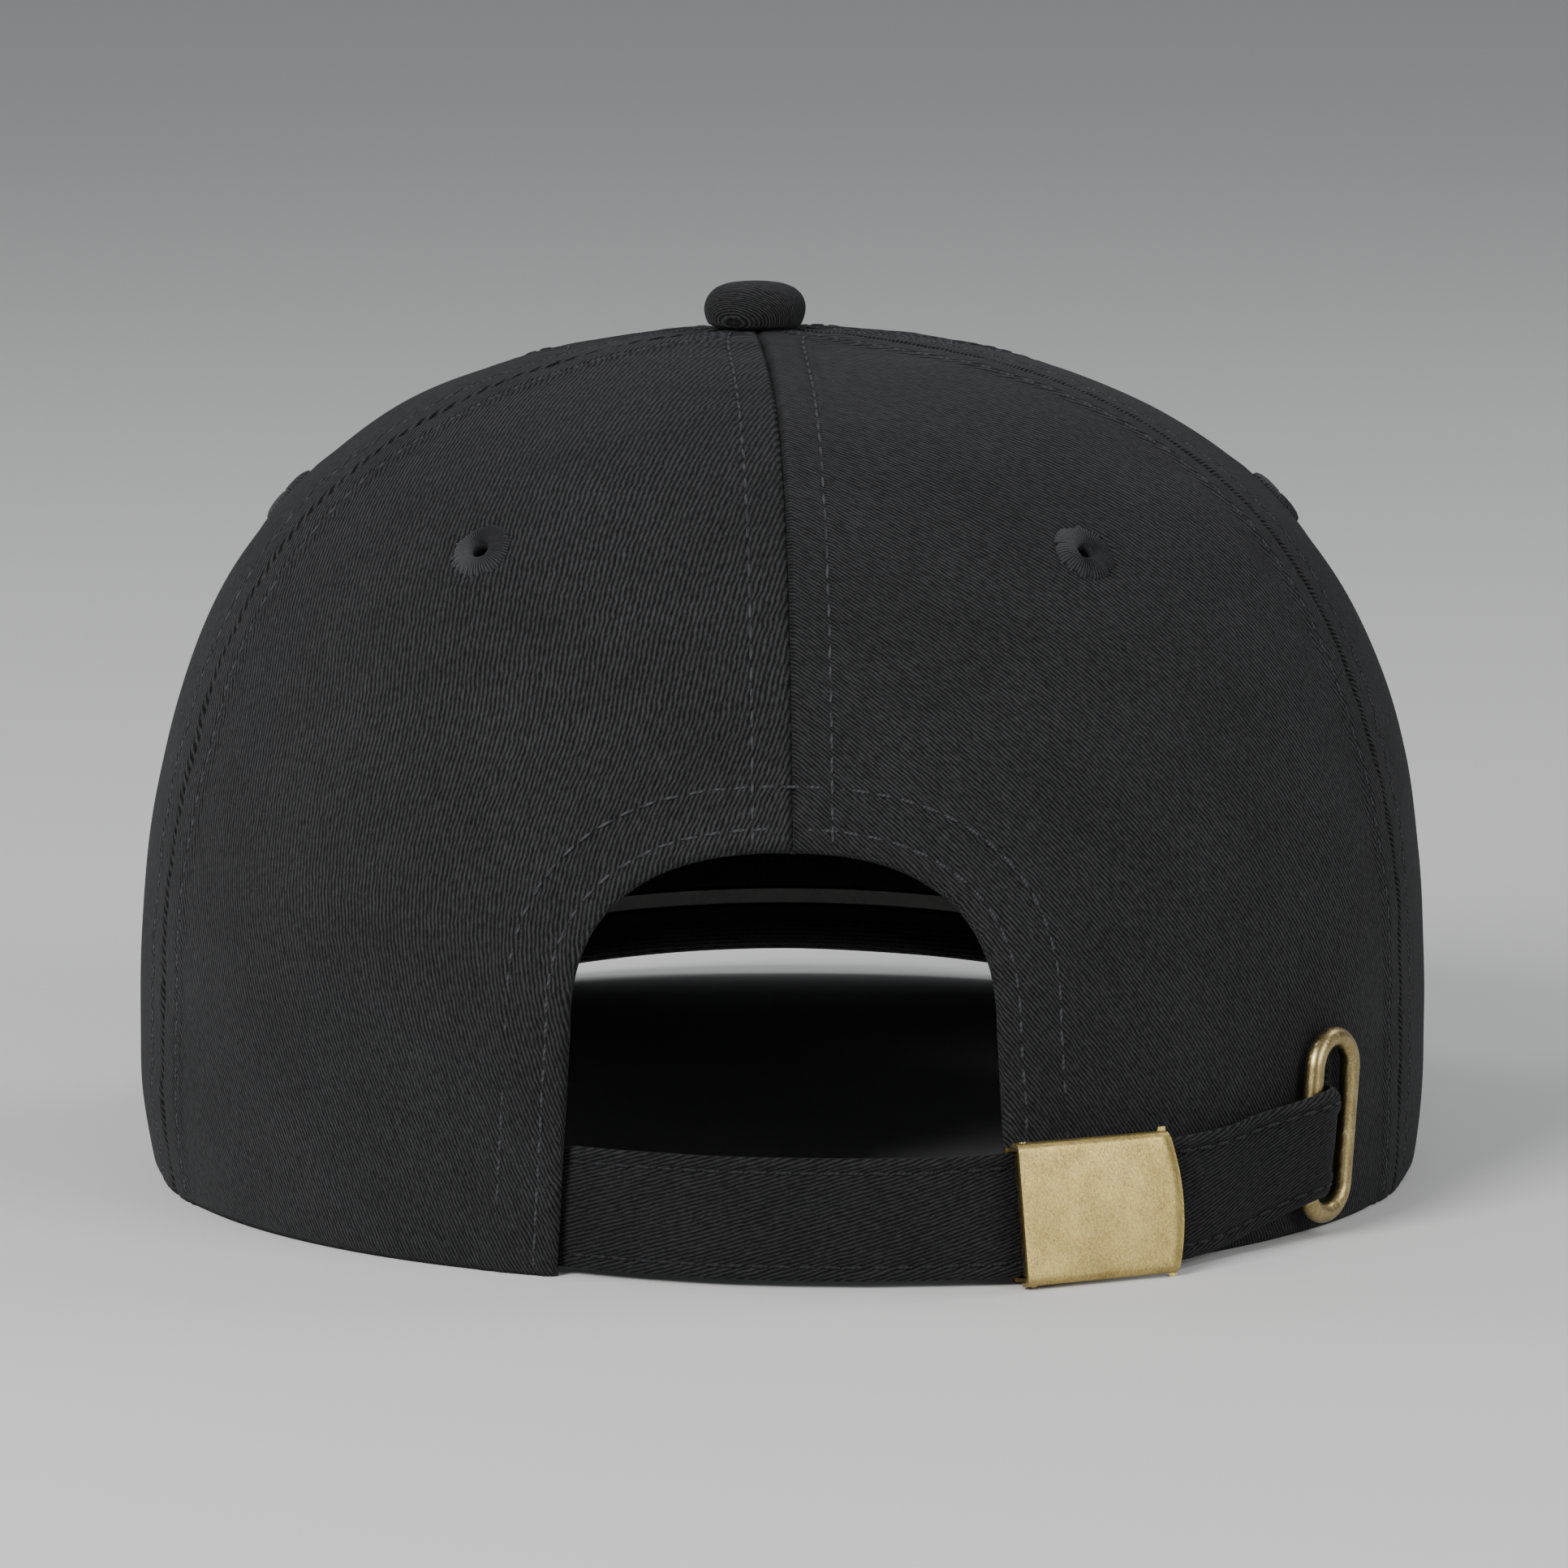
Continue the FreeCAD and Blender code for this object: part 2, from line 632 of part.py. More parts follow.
# ================================================================================ visor
def visor_point(u, q, drop):
    """u runs from one temple to the other, q from the rim to the outer edge."""
    a = math.radians(VISOR_ANGLE * u)
    inner = V((HALF_WIDTH - PANEL[1]) * math.sin(a), -(HALF_LENGTH - PANEL[1]) * math.cos(a), 0)
    t = math.radians(90.0 * u)
    x = math.copysign(VISOR_HALF * abs(math.sin(t)) ** (2 / VISOR_POWER), t)
    y = -VISOR_ROOT - VISOR_REACH * max(math.cos(t), 0.0) ** (2 / VISOR_POWER)
    point = inner + (V(x, y, 0) - inner) * q
    point.z = visor_height(point.x, point.y) - drop
    return point


def visor_layer(layer, trim):
    columns = [-1 + 2 * i / 20 for i in range(21)]
    grids = []
    for drop in layer:
        rows = [q * (1 - trim) for q in (0, 0.25, 0.5, 0.75, 1)]
        grids.append([[visor_point(u * (1 - trim * 0.5), q, drop) for q in rows] for u in columns])
    return slab(*grids)


# ================================================================================ assembly
def save(name, shape):
    solids = shape.Solids if hasattr(shape, "Solids") else [s for part in shape for s in part.Solids]
    joined = solids[0] if len(solids) == 1 else Part.makeCompound(solids)
    valid = all(s.isValid() and s.isClosed() and s.Volume > 0 for s in solids)
    state = "ok" if valid else "BROKEN"
    print(f"{name:24s} {len(solids)} solid(s) {joined.Volume / 1000:8.3f} cm3 {state}")
    joined.exportStep(f"parts/{name}.step")
    return joined


def build():
    os.makedirs("parts", exist_ok=True)
    seams = SEAM_ANGLES
    ends = seams[1:] + (360.0,)
    names = ("front_left", "side_left", "back_left", "back_right", "side_right", "front_right")
    opening = arch()
    slot = slot_cutter()
    for name, start, end, hole in zip(names, seams, ends, EYELET_ANGLES):
        drill = eyelet_drill(hole)
        cloth = panel(start, end, PANEL).cut(drill)
        if "back" in name:
            cloth = cloth.cut([opening, Part.makeBox(300, 300, 10, V(-150, -150, RIM_TRIM - 10))])
        if name == "back_right":
            cloth = cloth.cut(slot)
            cloth = cloth.cut(ring_prongs())
        save(f"{name}_panel", cloth)
        if "front" in name:
            stiff = panel(start, end, BUCKRAM, foot=2.0, trim=3.0, head=TAPE_END).cut(drill)
            save(f"{name}_buckram", stiff)
        save(f"{name}_eyelet", eyelet(hole, BUCKRAM[1] if "front" in name else PANEL[1]))

    labels = ("front", "front_left", "back_left", "back", "back_right", "front_right")
    for seam, label in zip(seams, labels):
        layer = FRONT_TAPE if "front" in label else PLAIN_TAPE
        start = ARCH_TOP + FACING_WIDTH + 3 if label == "back" else 1.5
        save(f"seam_tape_{label}", tape(seam, layer, start))

    facing = straight_columns(180 - 26, 180 + 26, 13)
    facing = crown_sheet(facing, FACING, lambda a: 0.3, lambda a: 80.0, 13)
    save("arch_facing", facing.common(arch(FACING_WIDTH)).cut(opening))

    band = straight_columns(-180 + BAND_CLEAR, 180 - BAND_CLEAR, 49)
    foot = lambda a: BAND_FOOT
    head = lambda a: BAND_FOOT + BAND_HEIGHT
    save("sweatband_foam", crown_sheet(band, BAND_FOAM, foot, head, 5))
    save("sweatband_face", crown_sheet(band, BAND_FACE, foot, head, 5))
    label = straight_columns(128, 141, 5)
    save("care_label", crown_sheet(label, LABEL, lambda a: 4.0, lambda a: 30.0, 4))

    for name, layer in VISOR_LAYERS.items():
        save(name, visor_layer(layer, BOARD_INSET if name == "visor_board" else 0.0))

    hollow = button_solid(BUTTON_SKIN + 0.05, 0.15)
    shell = hollow.cut(button_solid(BUTTON_SKIN + 0.65, 0.1))
    shank = post(SHANK_RADIUS, -2.9, BUTTON_HEIGHT - BUTTON_SKIN - 1.2)
    save("button_cloth", button_solid(0.0, 0.12).cut(button_solid(BUTTON_SKIN, 0.12)))
    save("button_shell", shell)
    save("button_shank", shank)
    washer = post(WASHER_RADIUS, -2.2, -1.4).cut(post(SHANK_RADIUS + 0.03, -9, 9))
    save("button_washer", washer)

    save("strap", strap())
    save("buckle_frame", buckle_place(buckle_frame()))
    save("buckle_lever", buckle_place(buckle_lever()))
    save("buckle_pin", buckle_place(buckle_pin()))
    save("buckle_tab", buckle_place(buckle_tab()))
    save("tuck_ring", tuck_ring())
    save("tuck_ring_backing", ring_backing())


build()
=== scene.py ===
import bisect
import random
from math import acos, asin, cos, degrees, exp, hypot, pi, radians, sin, sqrt

import bmesh
import bpy
from mathutils import Matrix, Vector, noise


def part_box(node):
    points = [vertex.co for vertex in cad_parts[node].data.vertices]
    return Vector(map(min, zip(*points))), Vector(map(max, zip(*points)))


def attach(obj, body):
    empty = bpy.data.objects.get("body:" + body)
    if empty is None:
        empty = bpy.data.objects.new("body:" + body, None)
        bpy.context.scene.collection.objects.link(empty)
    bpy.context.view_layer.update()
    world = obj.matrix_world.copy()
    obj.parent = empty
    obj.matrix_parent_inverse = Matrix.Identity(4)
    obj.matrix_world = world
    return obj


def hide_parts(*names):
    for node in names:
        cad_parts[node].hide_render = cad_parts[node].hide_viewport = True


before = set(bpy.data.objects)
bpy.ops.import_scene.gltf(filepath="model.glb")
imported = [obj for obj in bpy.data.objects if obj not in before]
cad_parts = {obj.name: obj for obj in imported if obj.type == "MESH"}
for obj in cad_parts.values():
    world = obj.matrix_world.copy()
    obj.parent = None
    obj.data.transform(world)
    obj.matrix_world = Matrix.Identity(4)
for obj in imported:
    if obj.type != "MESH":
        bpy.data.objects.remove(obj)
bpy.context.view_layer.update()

mm = 0.001
uvPerMetre = 10.0  # a UV unit is 100 mm of cloth
rng = random.Random(11)
up = Vector((0, 0, 1))


# the floor, the light and the camera
view = {"eye": (0.0, 1.25, 0.2337), "aim": (0.0, 0.0, 0.0555), "lens": 197.2, "sensor": 36.0}


def setStage():
    camera = bpy.data.objects.new("camera", bpy.data.cameras.new("camera"))
    bpy.context.scene.collection.objects.link(camera)
    camera.data.lens = view["lens"]
    camera.data.sensor_width = view["sensor"]
    camera.data.clip_start = 0.01
    camera.location = view["eye"]
    camera.rotation_euler = (Vector(view["aim"]) - Vector(view["eye"])).to_track_quat("-Z", "Y").to_euler()
    bpy.context.scene.camera = camera

    bm = bmesh.new()
    bmesh.ops.create_grid(bm, x_segments=1, y_segments=1, size=6.0)
    floor = addObject("floor", bm)
    floor.data.materials.append(floorFinish())

    world = bpy.data.worlds.new("studio")
    bpy.context.scene.world = world
    world.use_nodes = True
    world.node_tree.nodes["Background"].inputs["Color"].default_value = (0.80, 0.82, 0.85, 1)
    world.node_tree.nodes["Background"].inputs["Strength"].default_value = 0.38
    for name, place, size, power in (
        ("key", (0.75, 1.10, 0.85), 0.6, 26.0),
        ("fill", (-1.1, 0.95, 0.6), 0.8, 11.0),
        ("back", (-1.0, -0.5, 1.2), 0.5, 5.0),
        ("rim", (1.3, -0.35, 0.7), 0.5, 6.0),
    ):
        lamp = bpy.data.objects.new(name, bpy.data.lights.new(name, "AREA"))
        bpy.context.scene.collection.objects.link(lamp)
        lamp.data.size = size
        lamp.data.energy = power
        lamp.location = place
        lamp.rotation_euler = (Vector((0, 0, 0.06)) - Vector(place)).to_track_quat("-Z", "Y").to_euler()


# small helpers that make and finish a piece
def addObject(name, bm, smooth=True):
    mesh = bpy.data.meshes.new(name)
    bm.to_mesh(mesh)
    bm.free()
    piece = bpy.data.objects.new(name, mesh)
    bpy.context.scene.collection.objects.link(piece)
    if smooth:
        mesh.shade_smooth()
    return piece


def finishPiece(piece, finish, nodes=(), body="cap"):
    piece.data.materials.clear()
    piece.data.materials.append(finish)
    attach(piece, body)
    if nodes:
        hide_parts(*nodes)
    return piece


def thicken(piece, thickness, offset=-1.0):
    wall = piece.modifiers.new("wall", "SOLIDIFY")
    wall.thickness = thickness
    wall.offset = offset


def settle(piece):
    # keeps what the modifiers made, and drops them
    graph = bpy.context.evaluated_depsgraph_get()
    mesh = bpy.data.meshes.new_from_object(piece.evaluated_get(graph))
    piece.modifiers.clear()
    piece.data = mesh


def gridMesh(columns, rows, place, uvOf=None):
    # place(s, t) gives a point for s along and t up, both from 0 to 1
    bm = bmesh.new()
    uvLayer = bm.loops.layers.uv.new("UVMap")
    bmesh.ops.create_grid(bm, x_segments=columns, y_segments=rows, size=0.5)
    spots = {}
    for vert in bm.verts:
        s, t = vert.co.x + 0.5, vert.co.y + 0.5
        spots[vert] = (s, t)
        vert.co = place(s, t)
    if uvOf:
        spots = {vert: uvOf(*spot) for vert, spot in spots.items()}
        for face in bm.faces:
            for loop in face.loops:
                loop[uvLayer].uv = spots[loop.vert]
    return bm


def ease(t):
    t = min(max(t, 0.0), 1.0)
    return t * t * (3 - 2 * t)


def mix(a, b, t):
    return a + (b - a) * t


# cloth, thread, metal, foam and board, all from nodes
def newFinish(name, color, roughness, metallic=0.0, sheen=0.0, gloss=0.5):
    finish = bpy.data.materials.new(name)
    finish.use_nodes = True
    shader = finish.node_tree.nodes["Principled BSDF"]
    shader.inputs["Base Color"].default_value = (*color, 1)
    shader.inputs["Roughness"].default_value = roughness
    shader.inputs["Metallic"].default_value = metallic
    shader.inputs["Specular IOR Level"].default_value = gloss
    if sheen:
        shader.inputs["Sheen Weight"].default_value = sheen
        shader.inputs["Sheen Roughness"].default_value = 0.55
        shader.inputs["Sheen Tint"].default_value = (0.75, 0.76, 0.80, 1)
    return finish


class Graph:
    # short ways to add and join shader nodes
    def __init__(self, finish):
        self.nodes = finish.node_tree.nodes
        self.links = finish.node_tree.links
        self.shader = self.nodes["Principled BSDF"]

    def add(self, kind, **values):
        node = self.nodes.new(kind)
        for key, value in values.items():
            if hasattr(node, key):
                setattr(node, key, value)
            else:
                node.inputs[key.replace("_", " ")].default_value = value
        return node

    def join(self, source, target, socket):
        self.links.new(source, target.inputs[socket])

    def coords(self, kind, scale, angle=0.0, stretch=(1, 1, 1)):
        node = self.add("ShaderNodeTexCoord")
        place = self.add("ShaderNodeMapping")
        place.inputs["Scale"].default_value = [scale * part for part in stretch]
        place.inputs["Rotation"].default_value = (0, 0, radians(angle))
        self.join(node.outputs[kind], place, "Vector")
        return place.outputs["Vector"]

    def math(self, operation, a, b):
        node = self.add("ShaderNodeMath", operation=operation)
        for index, value in enumerate((a, b)):
            if isinstance(value, (int, float)):
                node.inputs[index].default_value = value
            else:
                self.links.new(value, node.inputs[index])
        return node.outputs[0]

    def noise(self, vector, scale, detail=2.0, rough=0.5):
        node = self.add("ShaderNodeTexNoise", Scale=scale, Detail=detail, Roughness=rough)
        self.join(vector, node, "Vector")
        return node.outputs["Fac"], node.outputs["Color"]

    def wave(self, vector, period, direction="X", warp=0.0):
        node = self.add("ShaderNodeTexWave", Scale=pi / 10 / period, Distortion=warp)
        node.bands_direction = direction
        node.inputs["Detail"].default_value = 1.0
        self.join(vector, node, "Vector")
        return node.outputs["Fac"]

    def ramp(self, value, stops):
        node = self.add("ShaderNodeValToRGB")
        points = node.color_ramp.elements
        while len(points) < len(stops):
            points.new(0.5)
        for point, (place, color) in zip(points, stops):
            point.position = place
            point.color = (*color, 1) if isinstance(color, tuple) else (color, color, color, 1)
        self.join(value, node, "Fac")
        return node.outputs["Color"]

    def tint(self, color, value, low, high):
        # multiplies a colour by a factor that runs from low to high with value
        span = self.add("ShaderNodeMapRange", To_Min=low, To_Max=high)
        self.join(value, span, "Value")
        node = self.add("ShaderNodeMix", data_type="RGBA", blend_type="MULTIPLY")
        node.inputs["Factor"].default_value = 1.0
        self.links.new(color, node.inputs["A"])
        self.links.new(span.outputs["Result"], node.inputs["B"])
        return node.outputs["Result"]

    def bump(self, height, distance, strength=1.0, under=None):
        node = self.add("ShaderNodeBump", Strength=strength, Distance=distance)
        self.join(height, node, "Height")
        if under:
            self.join(under, node, "Normal")
        return node.outputs["Normal"]


# the twill's colours: dark is painted shade for the pits, light a painted highlight for the rib crests, mid
# the cloth between them
twill = {
    "dark": (0.0022, 0.0022, 0.0024), "mid": (0.0095, 0.0095, 0.0100), "light": (0.030, 0.030, 0.031),
    "period": 0.52, "depth": 0.17 * mm, "sheen": 0.035, "gloss": 0.10,
}


def twillFinish(name, angle, coordinates="UV", shade=1.0):
    # brushed cotton twill: slanting ribs with short pits between them, under a worn nap; the pits are painted
    # dark as painted shade and the rib crests painted light as a painted highlight
    finish = newFinish(name, twill["mid"], 0.9, sheen=twill["sheen"], gloss=twill["gloss"])
    g = Graph(finish)
    flat = g.coords(coordinates, 1000 / uvPerMetre if coordinates == "UV" else 1000)
    _, drift = g.noise(flat, 0.35, 2.0)
    bent = g.add("ShaderNodeVectorMath", operation="MULTIPLY_ADD")
    g.links.new(drift, bent.inputs[0])
    bent.inputs[1].default_value = (0.5, 0.5, 0.5)
    g.links.new(flat, bent.inputs[2])
    turned = g.add("ShaderNodeMapping")
    turned.inputs["Rotation"].default_value = (0, 0, radians(-angle))
    g.join(bent.outputs[0], turned, "Vector")
    drawn = g.add("ShaderNodeMapping")
    drawn.inputs["Scale"].default_value = (2.3, 0.95, 1)
    g.join(turned.outputs["Vector"], drawn, "Vector")
    ribs = g.wave(turned.outputs["Vector"], twill["period"], "X")
    pits, _ = g.noise(drawn.outputs["Vector"], 1.0, 2.0, 0.55)
    fuzz, _ = g.noise(flat, 5.5, 3.0, 0.65)
    patch, _ = g.noise(flat, 0.05, 3.0, 0.55)
    speck, _ = g.noise(flat, 1.1, 2.0, 0.6)
    height = g.math("ADD", g.math("MULTIPLY", ribs, 0.46), g.math("MULTIPLY", pits, 0.62))
    height = g.math("ADD", height, g.math("MULTIPLY", fuzz, 0.42))
    # painted shade and highlight: the ramp gives the low pits the dark colour and the high crests the light
    # one
    color = g.ramp(height, [(0.46, twill["dark"]), (0.72, twill["mid"]), (1.0, twill["light"])])
    color = g.tint(color, patch, 0.62 * shade, 1.40 * shade)
    color = g.tint(color, speck, 0.70, 1.30)
    g.links.new(color, g.shader.inputs["Base Color"])
    rough = g.add("ShaderNodeMapRange", To_Min=0.95, To_Max=0.80)
    g.join(height, rough, "Value")
    g.join(rough.outputs["Result"], g.shader, "Roughness")
    soft = g.bump(patch, 0.5 * mm, 0.35)
    g.join(g.bump(height, twill["depth"], 1.0, soft), g.shader, "Normal")
    return finish


def weaveFinish(name, color, pitch, coordinates="UV", depth=0.1 * mm, gauze=False):
    # plain weave: warp and weft cross one over one
    finish = newFinish(name, color, 0.88, sheen=0.04, gloss=0.15)
    g = Graph(finish)
    flat = g.coords(coordinates, 1000 / uvPerMetre if coordinates == "UV" else 1000)
    warp = g.wave(flat, pitch, "X", 0.5)
    weft = g.wave(flat, pitch * 0.9, "Y", 0.5)
    fuzz, _ = g.noise(flat, 4.0, 3.0, 0.6)
    patch, _ = g.noise(flat, 0.08, 2.0)
    joined = "MULTIPLY" if gauze else "MAXIMUM"
    height = g.math("ADD", g.math(joined, warp, weft), g.math("MULTIPLY", fuzz, 0.4))
    # painted shade and highlight: low is painted shade in the weave's hollows, high a painted highlight on
    # its crossings
    low = tuple(part * 0.45 for part in color)
    high = tuple(min(part * 1.5, 1.0) for part in color)
    shaded = g.ramp(height, [(0.35, low), (0.7, color), (1.0, high)])
    g.links.new(g.tint(shaded, patch, 0.8, 1.2), g.shader.inputs["Base Color"])
    g.join(g.bump(height, depth), g.shader, "Normal")
    return finish


def threadFinish(name, color):
    # twisted thread with loose fibres
    finish = newFinish(name, color, 0.7, sheen=0.05, gloss=0.2)
    g = Graph(finish)
    flat = g.coords("Object", 1000)
    twist = g.wave(flat, 0.42, "DIAGONAL", 1.2)
    fuzz, _ = g.noise(flat, 6.0, 2.0)
    height = g.math("ADD", g.math("MULTIPLY", twist, 0.6), g.math("MULTIPLY", fuzz, 0.4))
    # painted shade in the twist's grooves (low) and a painted highlight on its ridges (high)
    low, high = tuple(part * 0.5 for part in color), tuple(part * 1.6 for part in color)
    g.links.new(g.ramp(height, [(0.2, low), (0.8, high)]), g.shader.inputs["Base Color"])
    g.join(g.bump(height, 0.06 * mm), g.shader, "Normal")
    return finish


def flossFinish(name, color):
    # satin stitches side by side: one thread for each whole step of U
    finish = newFinish(name, color, 0.65, sheen=0.06, gloss=0.22)
    g = Graph(finish)
    across = g.coords("UV", 1.0)
    ridges = g.wave(across, 1.0, "X", 0.6)
    hairs, _ = g.noise(g.coords("UV", 1.0, 0, (9.0, 2.0, 1.0)), 1.0, 3.0, 0.7)
    height = g.math("ADD", g.math("MULTIPLY", ridges, 0.6), g.math("MULTIPLY", hairs, 0.6))
    # painted shade between the stitches (low) and a painted highlight on their crests (high)
    low, high = tuple(part * 0.16 for part in color), tuple(part * 2.4 for part in color)
    g.links.new(g.ramp(height, [(0.30, low), (0.62, color), (1.0, high)]), g.shader.inputs["Base Color"])
    g.join(g.bump(height, 0.22 * mm), g.shader, "Normal")
    return finish


def brassFinish(name, dark, light, roughness, mottle):
    # antiqued brass: a brown patina, rubbed back, with fine scratches every way
    finish = newFinish(name, light, roughness, 1.0)
    g = Graph(finish)
    flat = g.coords("Object", 1000)
    cloud, _ = g.noise(flat, 0.22, 4.0, 0.6)
    grain, _ = g.noise(flat, 3.4, 3.0, 0.75)
    lines = None
    for angle in (24, -38, 71, 103):
        drawn = g.coords("Object", 1000, angle, (0.30, 6.5, 0.30))
        hair, _ = g.noise(drawn, 1.3, 3.0, 0.75)
        cut = g.add("ShaderNodeMapRange", From_Min=0.60, From_Max=0.70)
        g.join(hair, cut, "Value")
        lines = cut.outputs["Result"] if lines is None else g.math("MAXIMUM", lines, cut.outputs["Result"])
    tone = g.math("ADD", g.math("MULTIPLY", cloud, 0.34), g.math("MULTIPLY", grain, mottle))
    tone = g.math("ADD", tone, g.math("MULTIPLY", lines, 0.20))
    color = g.ramp(tone, [(0.28, dark), (0.56, light), (0.95, tuple(min(p * 1.35, 1.0) for p in light))])
    g.links.new(color, g.shader.inputs["Base Color"])
    rough = g.add("ShaderNodeMapRange", To_Min=roughness + 0.12, To_Max=roughness - 0.08)
    g.join(tone, rough, "Value")
    g.join(rough.outputs["Result"], g.shader, "Roughness")
    marks = g.math("ADD", g.math("MULTIPLY", grain, 0.6), g.math("MULTIPLY", lines, -0.5))
    g.join(g.bump(marks, 0.022 * mm), g.shader, "Normal")
    return finish


def foamFinish(name, color):
    finish = newFinish(name, color, 0.95)
    g = Graph(finish)
    cells = g.add("ShaderNodeTexVoronoi", Scale=1.6)
    g.join(g.coords("Object", 1000), cells, "Vector")
    # painted shade: the foam's cells are darker at their centres, where they sink
    low = tuple(part * 0.4 for part in color)
    g.links.new(g.ramp(cells.outputs["Distance"], [(0.0, low), (0.6, color)]), g.shader.inputs["Base Color"])
    g.join(g.bump(cells.outputs["Distance"], 0.3 * mm), g.shader, "Normal")
    return finish


def boardFinish(name, color):
    finish = newFinish(name, color, 0.6)
    g = Graph(finish)
    grain, _ = g.noise(g.coords("Object", 1000), 1.2, 4.0)
    toned = g.tint(g.ramp(grain, [(0.3, color), (0.8, color)]), grain, 0.8, 1.1)
    g.links.new(toned, g.shader.inputs["Base Color"])
    g.join(g.bump(grain, 0.08 * mm), g.shader, "Normal")
    return finish


def floorFinish():
    finish = newFinish("floor_paper", (0.66, 0.66, 0.65), 0.75)
    g = Graph(finish)
    grain, _ = g.noise(g.coords("Object", 1), 900.0, 2.0)
    g.join(g.bump(grain, 0.05 * mm, 0.3), g.shader, "Normal")
    return finish


# the crown's curves, the same as the part's
crown = {
    "halfWidth": 94.2 * mm, "halfLength": 97.0 * mm, "height": 120.8 * mm,
    "peak": 2.7 * mm, "peakWide": 16.8 * mm, "apexShift": 4.2 * mm, "apexDrift": 1.7, "apexHole": 2.2 * mm,
    "widestBack": 8.0 * mm, "widestSide": 17.0 * mm, "sideTuck": 1.6 * mm,
    "power": 2.6, "sway": 0.05, "side": 0.1, "seams": (0.0, 57.0, 109.5, 180.8, 250.5, 303.0),
    "eyelets": (28.5, 83.3, 143.8, 216.6, 276.7, 331.5),
}
visor = {
    "angle": 63.0, "lift": 26.1 * mm, "slope": 0.26, "roll": 190.0 * mm, "reach": 120.0 * mm,
    "half": 88.5 * mm, "root": 47.0 * mm, "power": 2.3, "fade": 112.0,
    "edge": 1.6 * mm, "rows": 7, "rowGap": 7.0 * mm,
}


def widestLevel(angle):
    return mix(crown["widestBack"], crown["widestSide"], sin(radians(angle)) ** 2)


def profilePower(angle):
    return crown["power"] + crown["sway"] * cos(radians(angle)) + crown["side"] * sin(radians(angle)) ** 2


def turnOf(m, power):
    near, far = m ** (power / 2), (1.0 - m) ** (power / 2)
    return pi / 2 * near / (near + far)


def placeOf(turn, power):
    share = turn * 2 / pi
    ratio = (share / (1.0 - share)) ** (2 / power)
    return ratio / (1.0 + ratio)


def crownAt(angle, m):
    # m runs from -1 on the rim's plane through 0 at the widest level to 1 at the top
    a = radians(angle)
    level = widestLevel(angle)
    if m < 0:
        size = 1.0 - crown["sideTuck"] * sin(a) ** 2 / crown["halfWidth"] * m * m
        z = level * (1.0 + m)
    else:
        power = profilePower(angle)
        turn = turnOf(min(m, 1.0), power)
        size = max(cos(turn), 0.0) ** (2.0 / power)
        z = level + (crown["height"] - level) * sin(turn) ** (2.0 / power)
        z += crown["peak"] * exp(-crown["halfWidth"] * size / crown["peakWide"])
    x = crown["apexShift"] * max(1.0 - size, 0.0) ** crown["apexDrift"] + crown["halfWidth"] * size * sin(a)
    return Vector((x, -crown["halfLength"] * size * cos(a), z))


def visorHeight(x, y):
    roll = visor["roll"] - sqrt(visor["roll"] ** 2 - x * x)
    return visor["lift"] - visor["slope"] * (-y - crown["halfLength"]) - roll


def rimHeight(angle):
    turn = abs((angle + 180.0) % 360.0 - 180.0)
    if turn >= visor["fade"]:
        return 0.0
    a = radians(min(turn, visor["angle"]))
    z = visorHeight(crown["halfWidth"] * sin(a), -crown["halfLength"] * cos(a))
    if turn > visor["angle"]:
        z *= ((visor["fade"] - turn) / (visor["fade"] - visor["angle"])) ** 3
    return z


def heightPlace(angle, z):
    level = widestLevel(angle)
    if z < level:
        return z / level - 1.0
    power = profilePower(angle)
    return placeOf(asin(min(((z - level) / (crown["height"] - level)) ** (power / 2), 1.0)), power)


meridians = {}
meridianSteps = 200


def meridian(angle):
    key = round(angle, 4)
    if key not in meridians:
        power = profilePower(angle)
        last = placeOf(acos((crown["apexHole"] / crown["halfWidth"]) ** (power / 2)), power)
        first = heightPlace(angle, rimHeight(angle))
        places = [mix(first, last, i / meridianSteps) for i in range(meridianSteps + 1)]
        reach, before = [0.0], crownAt(angle, first)
        for m in places[1:]:
            point = crownAt(angle, m)
            reach.append(reach[-1] + (point - before).length)
            before = point
        meridians[key] = (reach, places)
    return meridians[key]


def fullRise(angle):
    return meridian(angle)[0][-1]


def placeAt(angle, rise):
    reach, places = meridian(angle)
    rise = min(max(rise, 0.0), reach[-1])
    i = min(max(bisect.bisect_left(reach, rise), 1), len(reach) - 1)
    return mix(places[i - 1], places[i], (rise - reach[i - 1]) / (reach[i] - reach[i - 1]))


def riseOf(angle, m):
    reach, places = meridian(angle)
    i = min(max(bisect.bisect_left(places, m), 1), len(places) - 1)
    return mix(reach[i - 1], reach[i], (m - places[i - 1]) / (places[i] - places[i - 1]))


def outward(angle, m):
    step = 1e-3
    low = m - step if abs(m) > 2 * step else m - 2 * step
    along = crownAt(angle, min(m + step, 1.0)) - crownAt(angle, low)
    across = crownAt(angle + 0.05, m) - crownAt(angle - 0.05, m)
    return across.cross(along).normalized()


def crownPoint(angle, rise, depth=0.0):
    m = placeAt(angle, rise)
    return crownAt(angle, m) - outward(angle, m) * depth


def riseAt(angle, radius):
    reach, places = meridian(angle)
    for distance, m in zip(reach, places):
        point = crownAt(angle, m)
        if hypot(point.x - crown["apexShift"], point.y) <= radius:
            return distance
    return reach[-1]


# the arched opening at the back
arch = {"foot": 31.4 * mm, "shoulder": 29.4 * mm, "spring": 34.0 * mm, "top": 59.0 * mm, "power": 2.4,
        "facing": 10.0 * mm, "rows": (3.1 * mm, 8.7 * mm)}


def archHalf(z):
    return mix(arch["foot"], arch["shoulder"], min(max(z, 0.0) / arch["spring"], 1.0))


def archGap(x, z):
    # distance from the opening's edge, less than nothing inside it
    if z < arch["spring"]:
        return abs(x) - archHalf(z)
    high, p = z - arch["spring"], arch["power"]
    size = ((abs(x) / arch["shoulder"]) ** p + (high / (arch["top"] - arch["spring"])) ** p) ** (1 / p)
    return hypot(x, high) * (1 - 1 / max(size, 1e-6))


